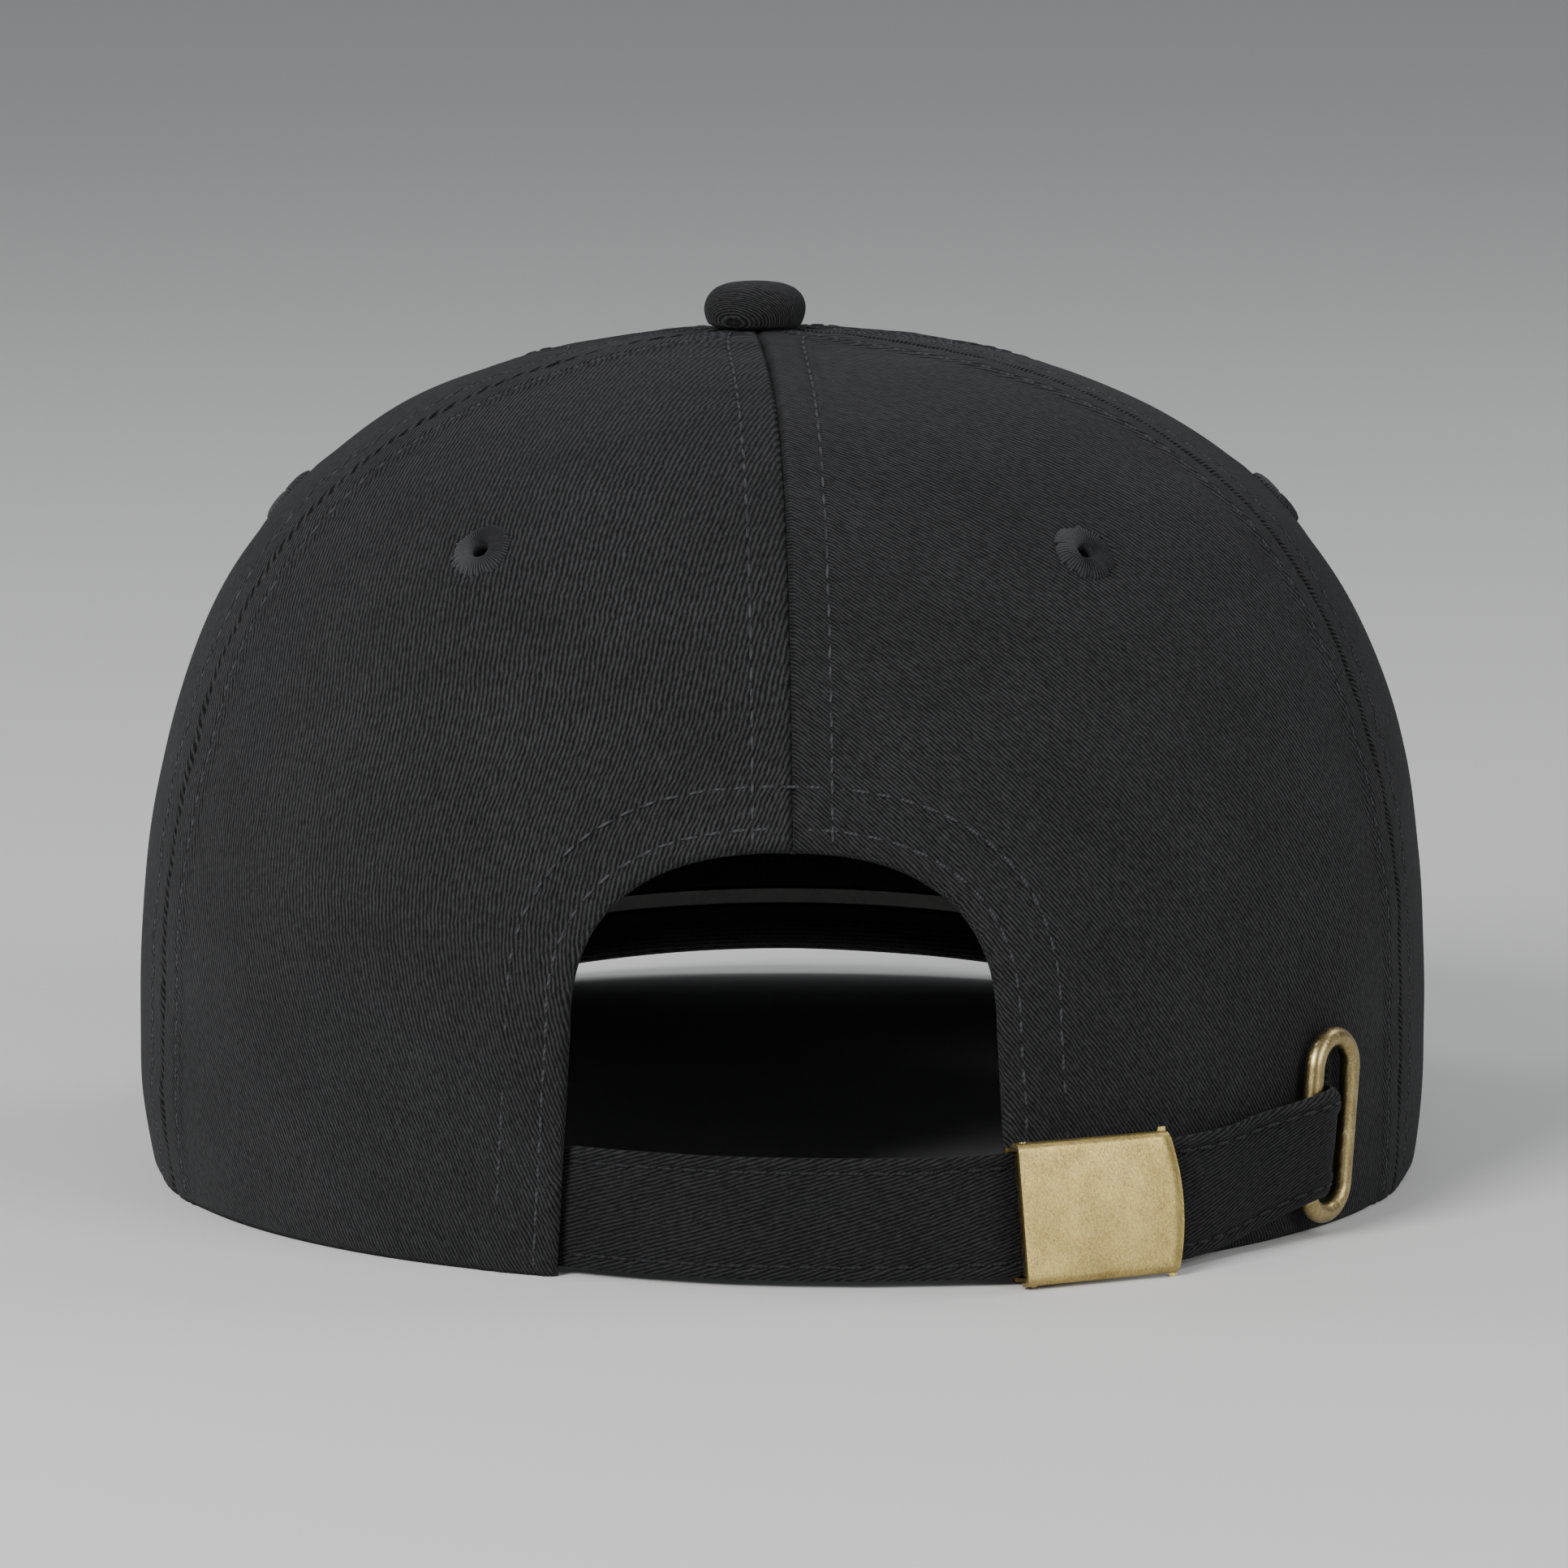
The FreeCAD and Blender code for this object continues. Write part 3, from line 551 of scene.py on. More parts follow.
def archPath(extra, steps=120):
    # (x, z) along the opening's edge, moved out by extra, from the wearer's left foot to the right one
    path = []
    shoulder, top = arch["shoulder"] + extra, arch["top"] - arch["spring"] + extra
    for i in range(steps + 1):
        turn = pi * i / steps
        x = shoulder * abs(cos(turn)) ** (2 / arch["power"]) * (1 if turn < pi / 2 else -1)
        path.append((x, arch["spring"] + top * sin(turn) ** (2 / arch["power"])))
    legs = [arch["spring"] * i / 24 for i in range(24)]
    left = [(archHalf(z) + extra, z) for z in legs]
    return left + path + [(-x, z) for x, z in reversed(left)]


def backSpot(x, z):
    # the angle and the rise of the place on the back with this x and z
    angle, m = 180.0, 0.0
    for _ in range(6):
        m = heightPlace(angle, max(z, 0.0))
        point = crownAt(angle, m)
        reach = hypot(point.x, point.y)
        angle += degrees(point.x - x) / max(reach * cos(radians(angle - 180.0)), 5 * mm) * 1.0
    return angle, riseOf(angle, heightPlace(angle, max(z, 0.0)))


# where the strap, the buckle and the ring lie
strap = {
    "width": 17.0 * mm, "thick": 1.3 * mm, "level": 9.6 * mm, "rise": 4.2 * mm, "gather": 0.11,
    "lean": 1.2,
    "span": (17.5, 33.5), "stop": 8, "tilt": 10.0, "steps": 260,
    "route": (  # degrees from the back towards the wearer's right, and millimetres out from the wall
        (-28.0, -2.75), (-25.0, -2.75), (-22.0, -2.75), (-19.3, -2.6), (-14.0, -1.3), (-5.0, 0.9), (5.0, 2.6),
        (12.0, 3.8), (17.5, 4.3), (33.5, 4.3), (38.5, 3.3), (43.0, 2.9), (46.8, 3.95), (49.6, 4.45),
        (51.35, 3.95),
        (52.15, 1.9), (52.75, -0.5), (53.55, -2.7), (54.7, -3.2), (57.7, -3.2), (61.2, -3.2),
    ),
}
ring = {"angle": 52.9, "level": 15.6 * mm, "wire": 1.4 * mm, "span": 9.2 * mm, "tall": 25.0 * mm,
        "lift": 1.85 * mm, "lean": 7.0, "slot": (4.6 * mm, 20.4 * mm), "slotDrop": 1.0 * mm}


def besideWall(turn, out, level):
    angle = 180.0 + turn
    wall = crownPoint(angle, level)
    way = outward(angle, heightPlace(angle, rimHeight(angle)) + 0.3)
    way.z = 0
    return wall + way.normalized() * out


def buckleAxes():
    ends = [besideWall(turn, strap["route"][strap["stop"]][1] * mm, strap["level"]) for turn in strap["span"]]
    along = (ends[1] - ends[0]).normalized()
    out = Vector((along.y, -along.x, 0))
    if out.y < 0:
        out.negate()
    lean = radians(strap["tilt"])
    return (ends[0] + ends[1]) / 2, along, up * cos(lean) - out * sin(lean), out * cos(lean) + up * sin(lean)


def ringAxes():
    angle = 180.0 + ring["angle"]
    wall = crownPoint(angle, ring["level"])
    out = (crownPoint(angle, ring["level"], -1 * mm) - wall).normalized()
    along = up.cross(out).normalized()
    if along.x > 0:
        along.negate()
    rise = out.cross(along)
    if rise.z < 0:
        rise.negate()
    lean = radians(ring["lean"])
    return wall, along * cos(lean) - rise * sin(lean), rise * cos(lean) + along * sin(lean), out


def smoothPath(points, steps):
    # an even walk along a smooth curve through the points
    fine = []
    for i in range(len(points) - 1):
        a, b, c, d = (points[max(i - 1, 0)], points[i], points[i + 1], points[min(i + 2, len(points) - 1)])
        ab, bc, cd = (max((q - p).length, 1e-6) for p, q in ((a, b), (b, c), (c, d)))
        m1 = (c - a) / (ab + bc) * bc if i else (c - b)
        m2 = (d - b) / (bc + cd) * bc if i < len(points) - 2 else (c - b)
        for k in range(16):
            t = k / 16
            fine.append(b * (2 * t**3 - 3 * t**2 + 1) + m1 * (t**3 - 2 * t**2 + t)
                        + c * (3 * t**2 - 2 * t**3) + m2 * (t**3 - t**2))
    fine.append(points[-1])
    return evenly(fine, steps)


def evenly(points, steps):
    reach = [0.0]
    for a, b in zip(points, points[1:]):
        reach.append(reach[-1] + (b - a).length)
    out = []
    for i in range(steps):
        far = reach[-1] * i / (steps - 1)
        k = min(max(bisect.bisect_left(reach, far), 1), len(reach) - 1)
        out.append(points[k - 1].lerp(points[k], (far - reach[k - 1]) / max(reach[k] - reach[k - 1], 1e-9)))
    return out


ringWall, ringAlong, ringUp, ringOut = ringAxes()
buckleMiddle, buckleAlong, buckleAcross, buckleOut = buckleAxes()


def ringLocal(point):
    away = point - ringWall
    return away.dot(ringAlong), away.dot(ringUp)


def ovalGap(x, y, span, tall):
    straight = (tall - span) / 2
    return hypot(x, max(abs(y) - straight, 0.0)) - span / 2


# how the cloth sinks and rises at its seams, hems and eyelets
lie = {
    "groove": 0.55 * mm, "grooveWide": 0.45 * mm, "allowance": 0.30 * mm, "seamRow": 5.6 * mm,
    "dent": 0.26 * mm, "dentWide": 0.6 * mm, "pucker": 0.16 * mm, "soft": 0.85 * mm, "hem": 0.40 * mm,
    "pitch": 3.3 * mm, "eyeletRise": 102.0 * mm,
}
def eyeletSpot(angle):
    return lie["eyeletRise"] - rimHeight(angle) * 1.02


eyeletCentres = [crownPoint(angle, eyeletSpot(angle)) for angle in crown["eyelets"]]


def bell(x, width):
    return exp(-(x / width) ** 2)


def clothLift(angle, rise, point):
    # how far the cloth stands off the plain crown here
    radius = max(hypot(point.x - crown["apexShift"], point.y), 1e-4)
    seam = min(crown["seams"] + (360.0,), key=lambda s: abs(s - angle))
    away = radians(abs(angle - seam)) * radius
    side = 1 if angle > seam else -1
    near = ease((radius - 6 * mm) / (10 * mm))
    lift = -lie["groove"] * bell(away, lie["grooveWide"])
    lift += lie["allowance"] * ease(away / (1.0 * mm)) * (1 - ease((away - 6.3 * mm) / (1.6 * mm))) * near
    lift -= lie["dent"] * bell(away - lie["seamRow"], lie["dentWide"]) * near
    zone = ease(away / mm) * (1 - ease((away - 8 * mm) / (6 * mm)))
    ripple = noise.noise(Vector((rise / (4.2 * mm), seam * 0.37 + side * 5.1, away / (14 * mm))))
    lift += lie["pucker"] * ripple * zone * 1.6
    if point.y > 0:
        gap = archGap(point.x, point.z)
        if gap < 16 * mm:
            faded = 1 - ease((gap - 9.3 * mm) / (1.8 * mm))
            lift += lie["hem"] * faded * ease((gap + 0.2 * mm) / (1.2 * mm))
            for row, deep in zip(arch["rows"], (0.22 * mm, 0.38 * mm)):
                lift -= deep * bell(gap - row, lie["dentWide"])
            along = noise.noise(Vector((point.x / (4.6 * mm), point.z / (4.6 * mm), gap / (18 * mm))))
            lift += lie["pucker"] * 1.7 * along * (1 - ease((gap - 10 * mm) / (5 * mm)))
            lift -= 0.55 * mm * bell(gap, 0.5 * mm)
    lift -= 0.5 * mm * bell(rise, 0.7 * mm)
    wide = noise.noise(point * 26 + Vector((3.1, 7.7, 1.3)))
    small = noise.noise(point * 75 + Vector((9.2, 0.4, 5.5)))
    calm = ease(rise / (14 * mm)) * ease((radius - 8 * mm) / (25 * mm))
    lift += (lie["soft"] * wide + 0.22 * mm * small) * calm
    for centre in eyeletCentres:
        far = (point - centre).length
        if far < 16 * mm:
            lift += 0.25 * mm * bell(far - 6.2 * mm, 2.2 * mm) - 0.3 * mm * bell(far, 3 * mm)
    x, y = ringLocal(point)
    if abs(x) < 20 * mm and abs(y) < 30 * mm and point.y > 0:
        lift -= 0.35 * mm * bell(max(ovalGap(x, y, ring["span"], ring["tall"]), 0.0), 2.5 * mm)
    return lift


def clothSpot(angle, rise, proud=0.0):
    # a place on the cloth's own surface, with the way out of it
    m = placeAt(angle, rise)
    point, way = crownAt(angle, m), outward(angle, m)
    return point + way * (clothLift(angle, rise, point) + proud), way


# the six panels of the crown
panels = {  # between which seams each lies, the twill's slant in it, and how that slant eases upwards
    "front_left": (0, 1, 30.0, 0.0), "side_left": (1, 2, 30.0, 0.0), "back_left": (2, 3, 27.0, -0.36),
    "back_right": (3, 4, 34.0, 0.0), "side_right": (4, 5, 30.0, 0.0), "front_right": (5, 6, 30.0, 0.0),
}
panelCloth = {
    "columns": 132, "rows": 190, "sideColumns": 92, "sideRows": 130, "thick": 1.0 * mm,
    "crowd": 0.62, "taper": 1.7, "tall": 165 * mm,
}


def panelSides(name):
    first, last, _, _ = panels[name]
    ends = crown["seams"] + (360.0,)
    return ends[first], ends[last]


def grainUv(angle, middle, rise, easeUp):
    width = crown["halfWidth"] * (1 - (rise / panelCloth["tall"]) ** panelCloth["taper"] * 0.93)
    drift = easeUp * max(rise - 20 * mm, 0.0) * ease((rise - 20 * mm) / (60 * mm))
    return ((radians(angle - middle) * width + drift) * uvPerMetre, rise * uvPerMetre)


def makePanel(name, depth=0.0, inset=0.0, head=None, columns=None, rows=None, lifted=True):
    start, end = panelSides(name)
    middle, easeUp = (start + end) / 2, panels[name][3]
    start, end = start + inset, end - inset
    kind = ("columns", "rows") if "back" in name else ("sideColumns", "sideRows")
    columns, rows = columns or panelCloth[kind[0]], rows or panelCloth[kind[1]]

    def spot(s, t):
        crowded = s - panelCloth["crowd"] * sin(2 * pi * s) / (2 * pi)
        angle = mix(start, end, crowded)
        return angle, (fullRise(angle) if head is None else riseAt(angle, head)) * t

    def place(s, t):
        angle, rise = spot(s, t)
        if lifted:
            return clothSpot(angle, rise)[0]
        return crownPoint(angle, rise, depth)

    bm = gridMesh(columns, rows, place, lambda s, t: grainUv(spot(s, t)[0], middle, spot(s, t)[1], easeUp))
    if "back" in name:
        openArch(bm)
    if name == "back_right":
        openSlot(bm)
    openEyelet(bm, eyeletCentres[list(panels).index(name)])
    return bm


def dropFaces(bm, inside):
    gone = [face for face in bm.faces if all(inside(vert.co) for vert in face.verts)]
    bmesh.ops.delete(bm, geom=gone, context="FACES")


def openArch(bm):
    # cuts the opening out, and draws the cut edge's points on to its outline
    dropFaces(bm, lambda co: co.y > 0 and archGap(co.x, co.z) < 0)
    for vert in bm.verts:
        gap = archGap(vert.co.x, vert.co.z)
        if gap < 0 and vert.co.y > 0:
            x, z = vert.co.x, vert.co.z
            if z < arch["spring"]:
                x = archHalf(z) * (1 if x > 0 else -1)
            else:
                away = Vector((x, z - arch["spring"]))
                away *= 1 - gap / away.length
                x, z = away.x, away.y + arch["spring"]
            angle, rise = backSpot(x, z)
            vert.co = clothSpot(angle, rise)[0]


def openSlot(bm):
    span, tall = ring["slot"]

    def inSlot(co):
        x, y = ringLocal(co)
        return co.y > 0 and ovalGap(x, y + ring["slotDrop"], span, tall) < 0

    dropFaces(bm, inSlot)
    for vert in bm.verts:
        x, y = ringLocal(vert.co)
        y += ring["slotDrop"]
        gap = ovalGap(x, y, span, tall)
        if gap < 0 and vert.co.y > 0 and abs(y) < tall:
            high = max(abs(y) - (tall - span) / 2, 0.0) * (1 if y > 0 else -1)
            away = Vector((x, high))
            if away.length > 1e-6:
                step = away.normalized() * -gap
                vert.co += ringAlong * step.x + ringUp * step.y


def openEyelet(bm, centre):
    dropFaces(bm, lambda co: (co - centre).length < 2.3 * mm)


def makePanels():
    for name, (_, _, angle, _) in panels.items():
        piece = addObject(f"{name}_panel_cloth", makePanel(name))
        thicken(piece, panelCloth["thick"])
        finishPiece(piece, twillFinish(f"twill_{name}", angle), [f"{name}_panel"])
    for name in ("front_left", "front_right"):
        bm = makePanel(name, 1.25 * mm, 1.9, 14 * mm, 46, 60, lifted=False)
        piece = addObject(f"{name}_buckram_gauze", bm)
        thicken(piece, 0.5 * mm)
        finishPiece(piece, buckramWeave, [f"{name}_buckram"])
    print("panels done")


# rows of sewn thread
thread = {"long": 2.45 * mm, "wide": 0.50 * mm, "high": 0.36 * mm, "sides": 6, "rings": 5}


def sewRow(bm, spots, pitch=None, size=1.0):
    # spots are (point, way out) close together along the row
    pitch = pitch or lie["pitch"]
    reach = [0.0]
    for (a, _), (b, _) in zip(spots, spots[1:]):
        reach.append(reach[-1] + (b - a).length)

    def at(far):
        k = min(max(bisect.bisect_left(reach, far), 1), len(reach) - 1)
        t = (far - reach[k - 1]) / max(reach[k] - reach[k - 1], 1e-9)
        return spots[k - 1][0].lerp(spots[k][0], t), spots[k - 1][1].lerp(spots[k][1], t)

    for i in range(int(reach[-1] / pitch)):
        half = thread["long"] * size / 2 * rng.uniform(0.92, 1.06)
        far = (i + 0.5) * pitch + rng.uniform(-0.05, 0.05) * pitch
        (a, wayA), (b, wayB) = at(far - half), at(far + half)
        way = (wayA + wayB).normalized()
        along = (b - a).normalized()
        side = way.cross(along).normalized()
        along = (along + side * rng.uniform(-0.06, 0.06)).normalized()
        side = way.cross(along).normalized()
        shape = Matrix((along * half, side * thread["wide"] * size / 2, way * thread["high"] * size / 2))
        shape = Matrix.Translation((a + b) / 2 + way * 0.03 * mm) @ shape.transposed().to_4x4()
        bmesh.ops.create_uvsphere(bm, u_segments=thread["sides"], v_segments=thread["rings"], radius=1.0,
                                  matrix=shape @ Matrix.Rotation(pi / 2, 4, "Y"))


def seamRows(seam):
    rows = []
    start = 1.0 * mm
    if abs(seam - 180) < 2:
        start = riseOf(seam, heightPlace(seam, arch["top"])) + 0.8 * mm
    for side in (-1, 1):
        spots = []
        head = riseAt(seam, 8.5 * mm)
        for i in range(240):
            rise = mix(start, head, i / 239)
            point = crownPoint(seam, rise)
            radius = hypot(point.x - crown["apexShift"], point.y)
            angle = seam + side * degrees(lie["seamRow"] / radius)
            spots.append(clothSpot(angle % 360 if seam else angle, rise, 0.06 * mm))
        rows.append(spots)
    return rows


def makeStitches():
    names = ("front", "front_left", "back_left", "back", "back_right", "front_right")
    for name, seam in zip(names, crown["seams"]):
        bm = bmesh.new()
        for row in seamRows(seam):
            sewRow(bm, row)
        finishPiece(addObject(f"seam_stitches_{name}", bm), sewingThread)
    bm = bmesh.new()
    for extra in arch["rows"]:
        spots = [clothSpot(*backSpot(x, z), 0.05 * mm) for x, z in archPath(extra, 160)]
        sewRow(bm, spots)
    finishPiece(addObject("arch_stitches", bm), sewingThread)
    print("stitches done")


# the sewn eyelets and the button on top
eyelet = {"radius": 4.6 * mm, "bore": 1.15 * mm, "proud": 0.85 * mm, "threads": 54, "perThread": 3}


def makeEyelets():
    for name, angle, centre in zip(panels, crown["eyelets"], eyeletCentres):
        m = placeAt(angle, eyeletSpot(angle))
        way = outward(angle, m)
        turn = way.to_track_quat("Z", "Y").to_matrix().to_4x4()
        high, low = 0.05 * mm, -(1.9 if "front" in name else 1.1) * mm
        r, b, p = eyelet["radius"], eyelet["bore"], eyelet["proud"]
        outline = [(b + 0.05 * mm, low), (b, high), (b + 0.12 * mm, high + 0.6 * p), (b + 0.6 * mm, high + p),
                   (mix(b, r, 0.5), high + 1.05 * p), (r - 0.8 * mm, high + 0.82 * p),
                   (r - 0.2 * mm, high + 0.4 * p),
                   (r, high - 0.15 * mm), (r - 0.3 * mm, low + 0.3 * mm), (r - 0.5 * mm, low - 0.25 * mm),
                   (mix(b, r, 0.5), low - 0.5 * mm), (b + 0.4 * mm, low - 0.4 * mm)]
        bm = bmesh.new()
        uvLayer = bm.loops.layers.uv.new("UVMap")
        verts = [bm.verts.new((x, 0, z)) for x, z in outline]
        edges = [bm.edges.new(pair) for pair in zip(verts, verts[1:] + verts[:1])]
        steps = eyelet["threads"] * eyelet["perThread"]
        bmesh.ops.spin(bm, geom=verts + edges, cent=(0, 0, 0), axis=(0, 0, 1), dvec=(0, 0, 0), angle=2 * pi,
                       steps=steps, use_merge=True, use_duplicate=False)
        bmesh.ops.remove_doubles(bm, verts=bm.verts, dist=1e-6)
        ragged = [rng.uniform(-0.35, 0.30) * mm for _ in range(eyelet["threads"])]
        for face in bm.faces:
            middle = face.calc_center_median()
            facing = Vector((middle.x, middle.y)).angle_signed(Vector((1, 0)), 0.0)
            for loop in face.loops:
                co = loop.vert.co
                around = Vector((co.x, co.y)).angle_signed(Vector((1, 0)), 0.0)
                around += 2 * pi * round((facing - around) / (2 * pi))
                loop[uvLayer].uv = (around / (2 * pi) * eyelet["threads"], hypot(co.x, co.y) / mm)
        for vert in bm.verts:
            around = (Vector((vert.co.x, vert.co.y)).angle_signed(Vector((1, 0)), 0.0) / (2 * pi)) % 1.0
            index = int(round(around * steps)) % steps
            floss = index // eyelet["perThread"]
            crest = index % eyelet["perThread"] == 1
            flat = Vector((vert.co.x, vert.co.y, 0))
            outer = ease((flat.length - mix(b, r, 0.6)) / (0.4 * (r - b)))
            vert.co += flat.normalized() * ragged[floss] * outer
            if not crest and flat.length > b + 0.05 * mm:
                vert.co.z -= 0.24 * mm * (1 if vert.co.z > low / 2 else -1)
        bmesh.ops.recalc_face_normals(bm, faces=bm.faces)
        bmesh.ops.transform(bm, matrix=Matrix.Translation(centre) @ turn, verts=bm.verts)
        finishPiece(addObject(f"{name}_eyelet_thread", bm), eyeletThread, [f"{name}_eyelet"])
    print("eyelets done")


button = {
    "steps": 72,
    "outline": (
        (0.0, 6.68), (2.2, 6.64), (4.2, 6.38), (5.8, 5.76), (6.9, 4.75), (7.38, 3.5),
        (7.36, 2.3), (7.05, 1.2), (6.75, 0.45), (6.4, 0.16), (5.0, 0.14), (0.0, 0.14),
    ),
}


def makeButton():
    foot = Vector((crown["apexShift"], 0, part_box("button_cloth")[0][2] - 0.14 * mm))
    bm = bmesh.new()
    uvLayer = bm.loops.layers.uv.new("UVMap")
    points = [Vector((x * mm, 0, z * mm)) for x, z in button["outline"]]
    fine = evenly(points[:10], 30) + points[10:]
    verts = [bm.verts.new(point) for point in fine]
    edges = [bm.edges.new(pair) for pair in zip(verts, verts[1:])]
    bmesh.ops.spin(bm, geom=verts + edges, cent=(0, 0, 0), axis=(0, 0, 1), dvec=(0, 0, 0), angle=2 * pi,
                   steps=button["steps"], use_merge=True, use_duplicate=False)
    bmesh.ops.remove_doubles(bm, verts=bm.verts, dist=1e-6)
    for _ in range(2):
        bmesh.ops.smooth_vert(bm, verts=bm.verts, factor=0.5,
                              use_axis_x=True, use_axis_y=True, use_axis_z=True)
    for face in bm.faces:
        for loop in face.loops:
            co = loop.vert.co
            wrap = 1 + max(0.0, 5.2 * mm - co.z) / (6 * mm) * (hypot(co.x, co.y) / (7 * mm)) ** 2
            loop[uvLayer].uv = (co.x * wrap * uvPerMetre, co.y * wrap * uvPerMetre)
    for vert in bm.verts:
        flat = Vector((vert.co.x, vert.co.y, 0))
        low = 1 - ease((vert.co.z - 0.5 * mm) / (4.5 * mm))
        if flat.length > 5 * mm:
            around = Vector((flat.x, flat.y)).angle_signed(Vector((1, 0)), 0.0)
            pleat = noise.noise(Vector((cos(around) * 5.5, sin(around) * 5.5, 0.7)))
            vert.co += flat.normalized() * pleat * low * 0.32 * mm
        if flat.length > 1e-6:
            vert.co += flat.normalized() * noise.noise(vert.co * 260) * 0.1 * mm
    bmesh.ops.recalc_face_normals(bm, faces=bm.faces)
    bmesh.ops.translate(bm, vec=foot, verts=bm.verts)
    finishPiece(addObject("button_twill", bm), twillFinish("twill_button", 62.0),
                ["button_cloth"])
    print("button done")


# buckram, seam tapes and sweatband
inside = {"tapeWide": 13.0 * mm, "tapeEnd": 14.0 * mm, "bandFoot": 0.6 * mm, "bandTall": 32.0 * mm,
          "bandClear": 20.6}


def crownStrip(name, columns, rows, spot, depth, thick, uvOf):
    # cloth laid inside the crown, spot(s, t) gives its angle and rise
    bm = gridMesh(columns, rows, lambda s, t: crownPoint(*spot(s, t), depth(s, t)), uvOf)
    piece = addObject(name, bm)
    thicken(piece, thick)
    return piece


def makeTapes():
    names = ("front", "front_left", "back_left", "back", "back_right", "front_right")
    for name, seam in zip(names, crown["seams"]):
        foot = 1.5 * mm if name != "back" else arch["top"] + arch["facing"] + 3 * mm
        deep = (1.95 if "front" in name else 1.15) * mm
        head = riseAt(seam, inside["tapeEnd"])

        def spot(s, t, seam=seam, foot=foot, head=head):
            rise = mix(foot, head, t)
            point = crownPoint(seam, rise)
            radius = hypot(point.x - crown["apexShift"], point.y)
            return seam + degrees((s - 0.5) * inside["tapeWide"] / radius), rise

        def depth(s, t, deep=deep, seam=seam):
            # a tape puffs between its two rows of stitches and is flat at its edges
            rows = bell(abs(s - 0.5) * inside["tapeWide"] - 4.6 * mm, 0.6 * mm)
            return deep - 0.12 * mm + rows * 0.15 * mm + 0.1 * mm * noise.noise(Vector((t * 40, s * 3, seam)))

        piece = crownStrip(f"seam_tape_{name}_ribbon", 22, 110, spot, depth, 0.4 * mm,
                           lambda s, t: (s * inside["tapeWide"] * uvPerMetre, t * 0.14 * uvPerMetre))
        finishPiece(piece, tapeWeave, [f"seam_tape_{name}"])

    path = archPath(0.4 * mm, 100)
    wide = arch["facing"]

    def facingSpot(s, t):
        i = min(int(s * (len(path) - 1)), len(path) - 2)
        share = s * (len(path) - 1) - i
        x, z = (mix(path[i][k], path[i + 1][k], share) for k in (0, 1))
        away = Vector((x, max(z - arch["spring"], 0.0))).normalized() * wide * t
        return backSpot(x + away.x, z + away.y)

    piece = crownStrip("arch_facing_twill", 180, 10, facingSpot, lambda s, t: 1.12 * mm, 0.5 * mm,
                       lambda s, t: (s * 0.15 * uvPerMetre, t * wide * uvPerMetre))
    finishPiece(piece, twillFinish("twill_facing", 45.0), ["arch_facing"])


def makeBand():
    first, last = -180 + inside["bandClear"], 180 - inside["bandClear"]
    around = radians(last - first) * crown["halfWidth"]

    def spot(s, t):
        return mix(first, last, s) % 360.0, inside["bandFoot"] + inside["bandTall"] * t

    def wavy(s, t):
        return 0.35 * mm * noise.noise(Vector((s * 30, t * 2.0, 2.2))) * t

    def faceDepth(s, t):
        roll = 0.5 * mm * (bell(1 - t, 0.03) + bell(t, 0.03))
        return 4.85 * mm - roll + wavy(s, t) + 0.25 * mm * bell(t - 0.12, 0.02)

    uvOf = lambda s, t: (s * around * uvPerMetre, t * inside["bandTall"] * uvPerMetre)
    face = crownStrip("sweatband_cotton", 420, 34, spot, faceDepth, 0.6 * mm, uvOf)
    finishPiece(face, bandWeave, ["sweatband_face"])
    foam = crownStrip("sweatband_padding", 300, 12, lambda s, t: spot(s, 0.03 + 0.94 * t),
                      lambda s, t: 4.05 * mm + wavy(s, t), 0.6 * mm, uvOf)
    finishPiece(foam, bandFoam, ["sweatband_foam"])

    bm = bmesh.new()
    for share in (0.12, 0.955):
        spots = []
        for i in range(900):
            s = i / 899
            angle, rise = spot(s, share)
            m = placeAt(angle, rise)
            way = -outward(angle, m)
            spots.append((crownAt(angle, m) + way * (faceDepth(s, share) + 0.66 * mm), way))
        sewRow(bm, spots)
    finishPiece(addObject("sweatband_stitches", bm), sewingThread)

    def labelDepth(s, t):
        return 5.55 * mm + 0.2 * mm * sin(pi * t) + 0.05 * mm * noise.noise(Vector((s * 3, t * 5, 1)))

    label = crownStrip("care_label_ribbon", 26, 26, lambda s, t: (mix(128, 141, s), mix(4 * mm, 30 * mm, t)),
                       labelDepth, 0.2 * mm, lambda s, t: (s * 0.2, t * 0.26))
    finishPiece(label, labelWeave, ["care_label"])
    print("inside done")


# the visor
def visorOuter(u):
    t = pi / 2 * u
    x = visor["half"] * abs(sin(t)) ** (2 / visor["power"]) * (1 if u > 0 else -1)
    return Vector((x, -visor["root"] - visor["reach"] * max(cos(t), 0.0) ** (2 / visor["power"]), 0))


def visorPlan(u, q):
    a = radians(visor["angle"] * u)
    wall = 1.0 * mm
    inner = Vector(((crown["halfWidth"] - wall) * sin(a), -(crown["halfLength"] - wall) * cos(a), 0))
    return inner.lerp(visorOuter(u), q)


outerEdge = [visorOuter(-1 + 2 * i / 400) for i in range(401)]


def edgeGap(point):
    return min(hypot(point.x - spot.x, point.y - spot.y) for spot in outerEdge)


def visorDrop(point, drop, middle):
    # the cloth's drop below the visor's face: sunk along the rows of stitches, rolled over at the edge
    gap = edgeGap(point)
    side = 1 if drop < middle else -1
    for row in range(visor["rows"]):
        deep = 0.22 * mm * bell(gap - (row + 0.85) * visor["rowGap"], 0.8 * mm)
        drop += side * deep
    roll = max(0.0, 1 - gap / visor["edge"])
    return mix(drop, middle, 1 - sqrt(max(1 - roll * roll, 0.0)))


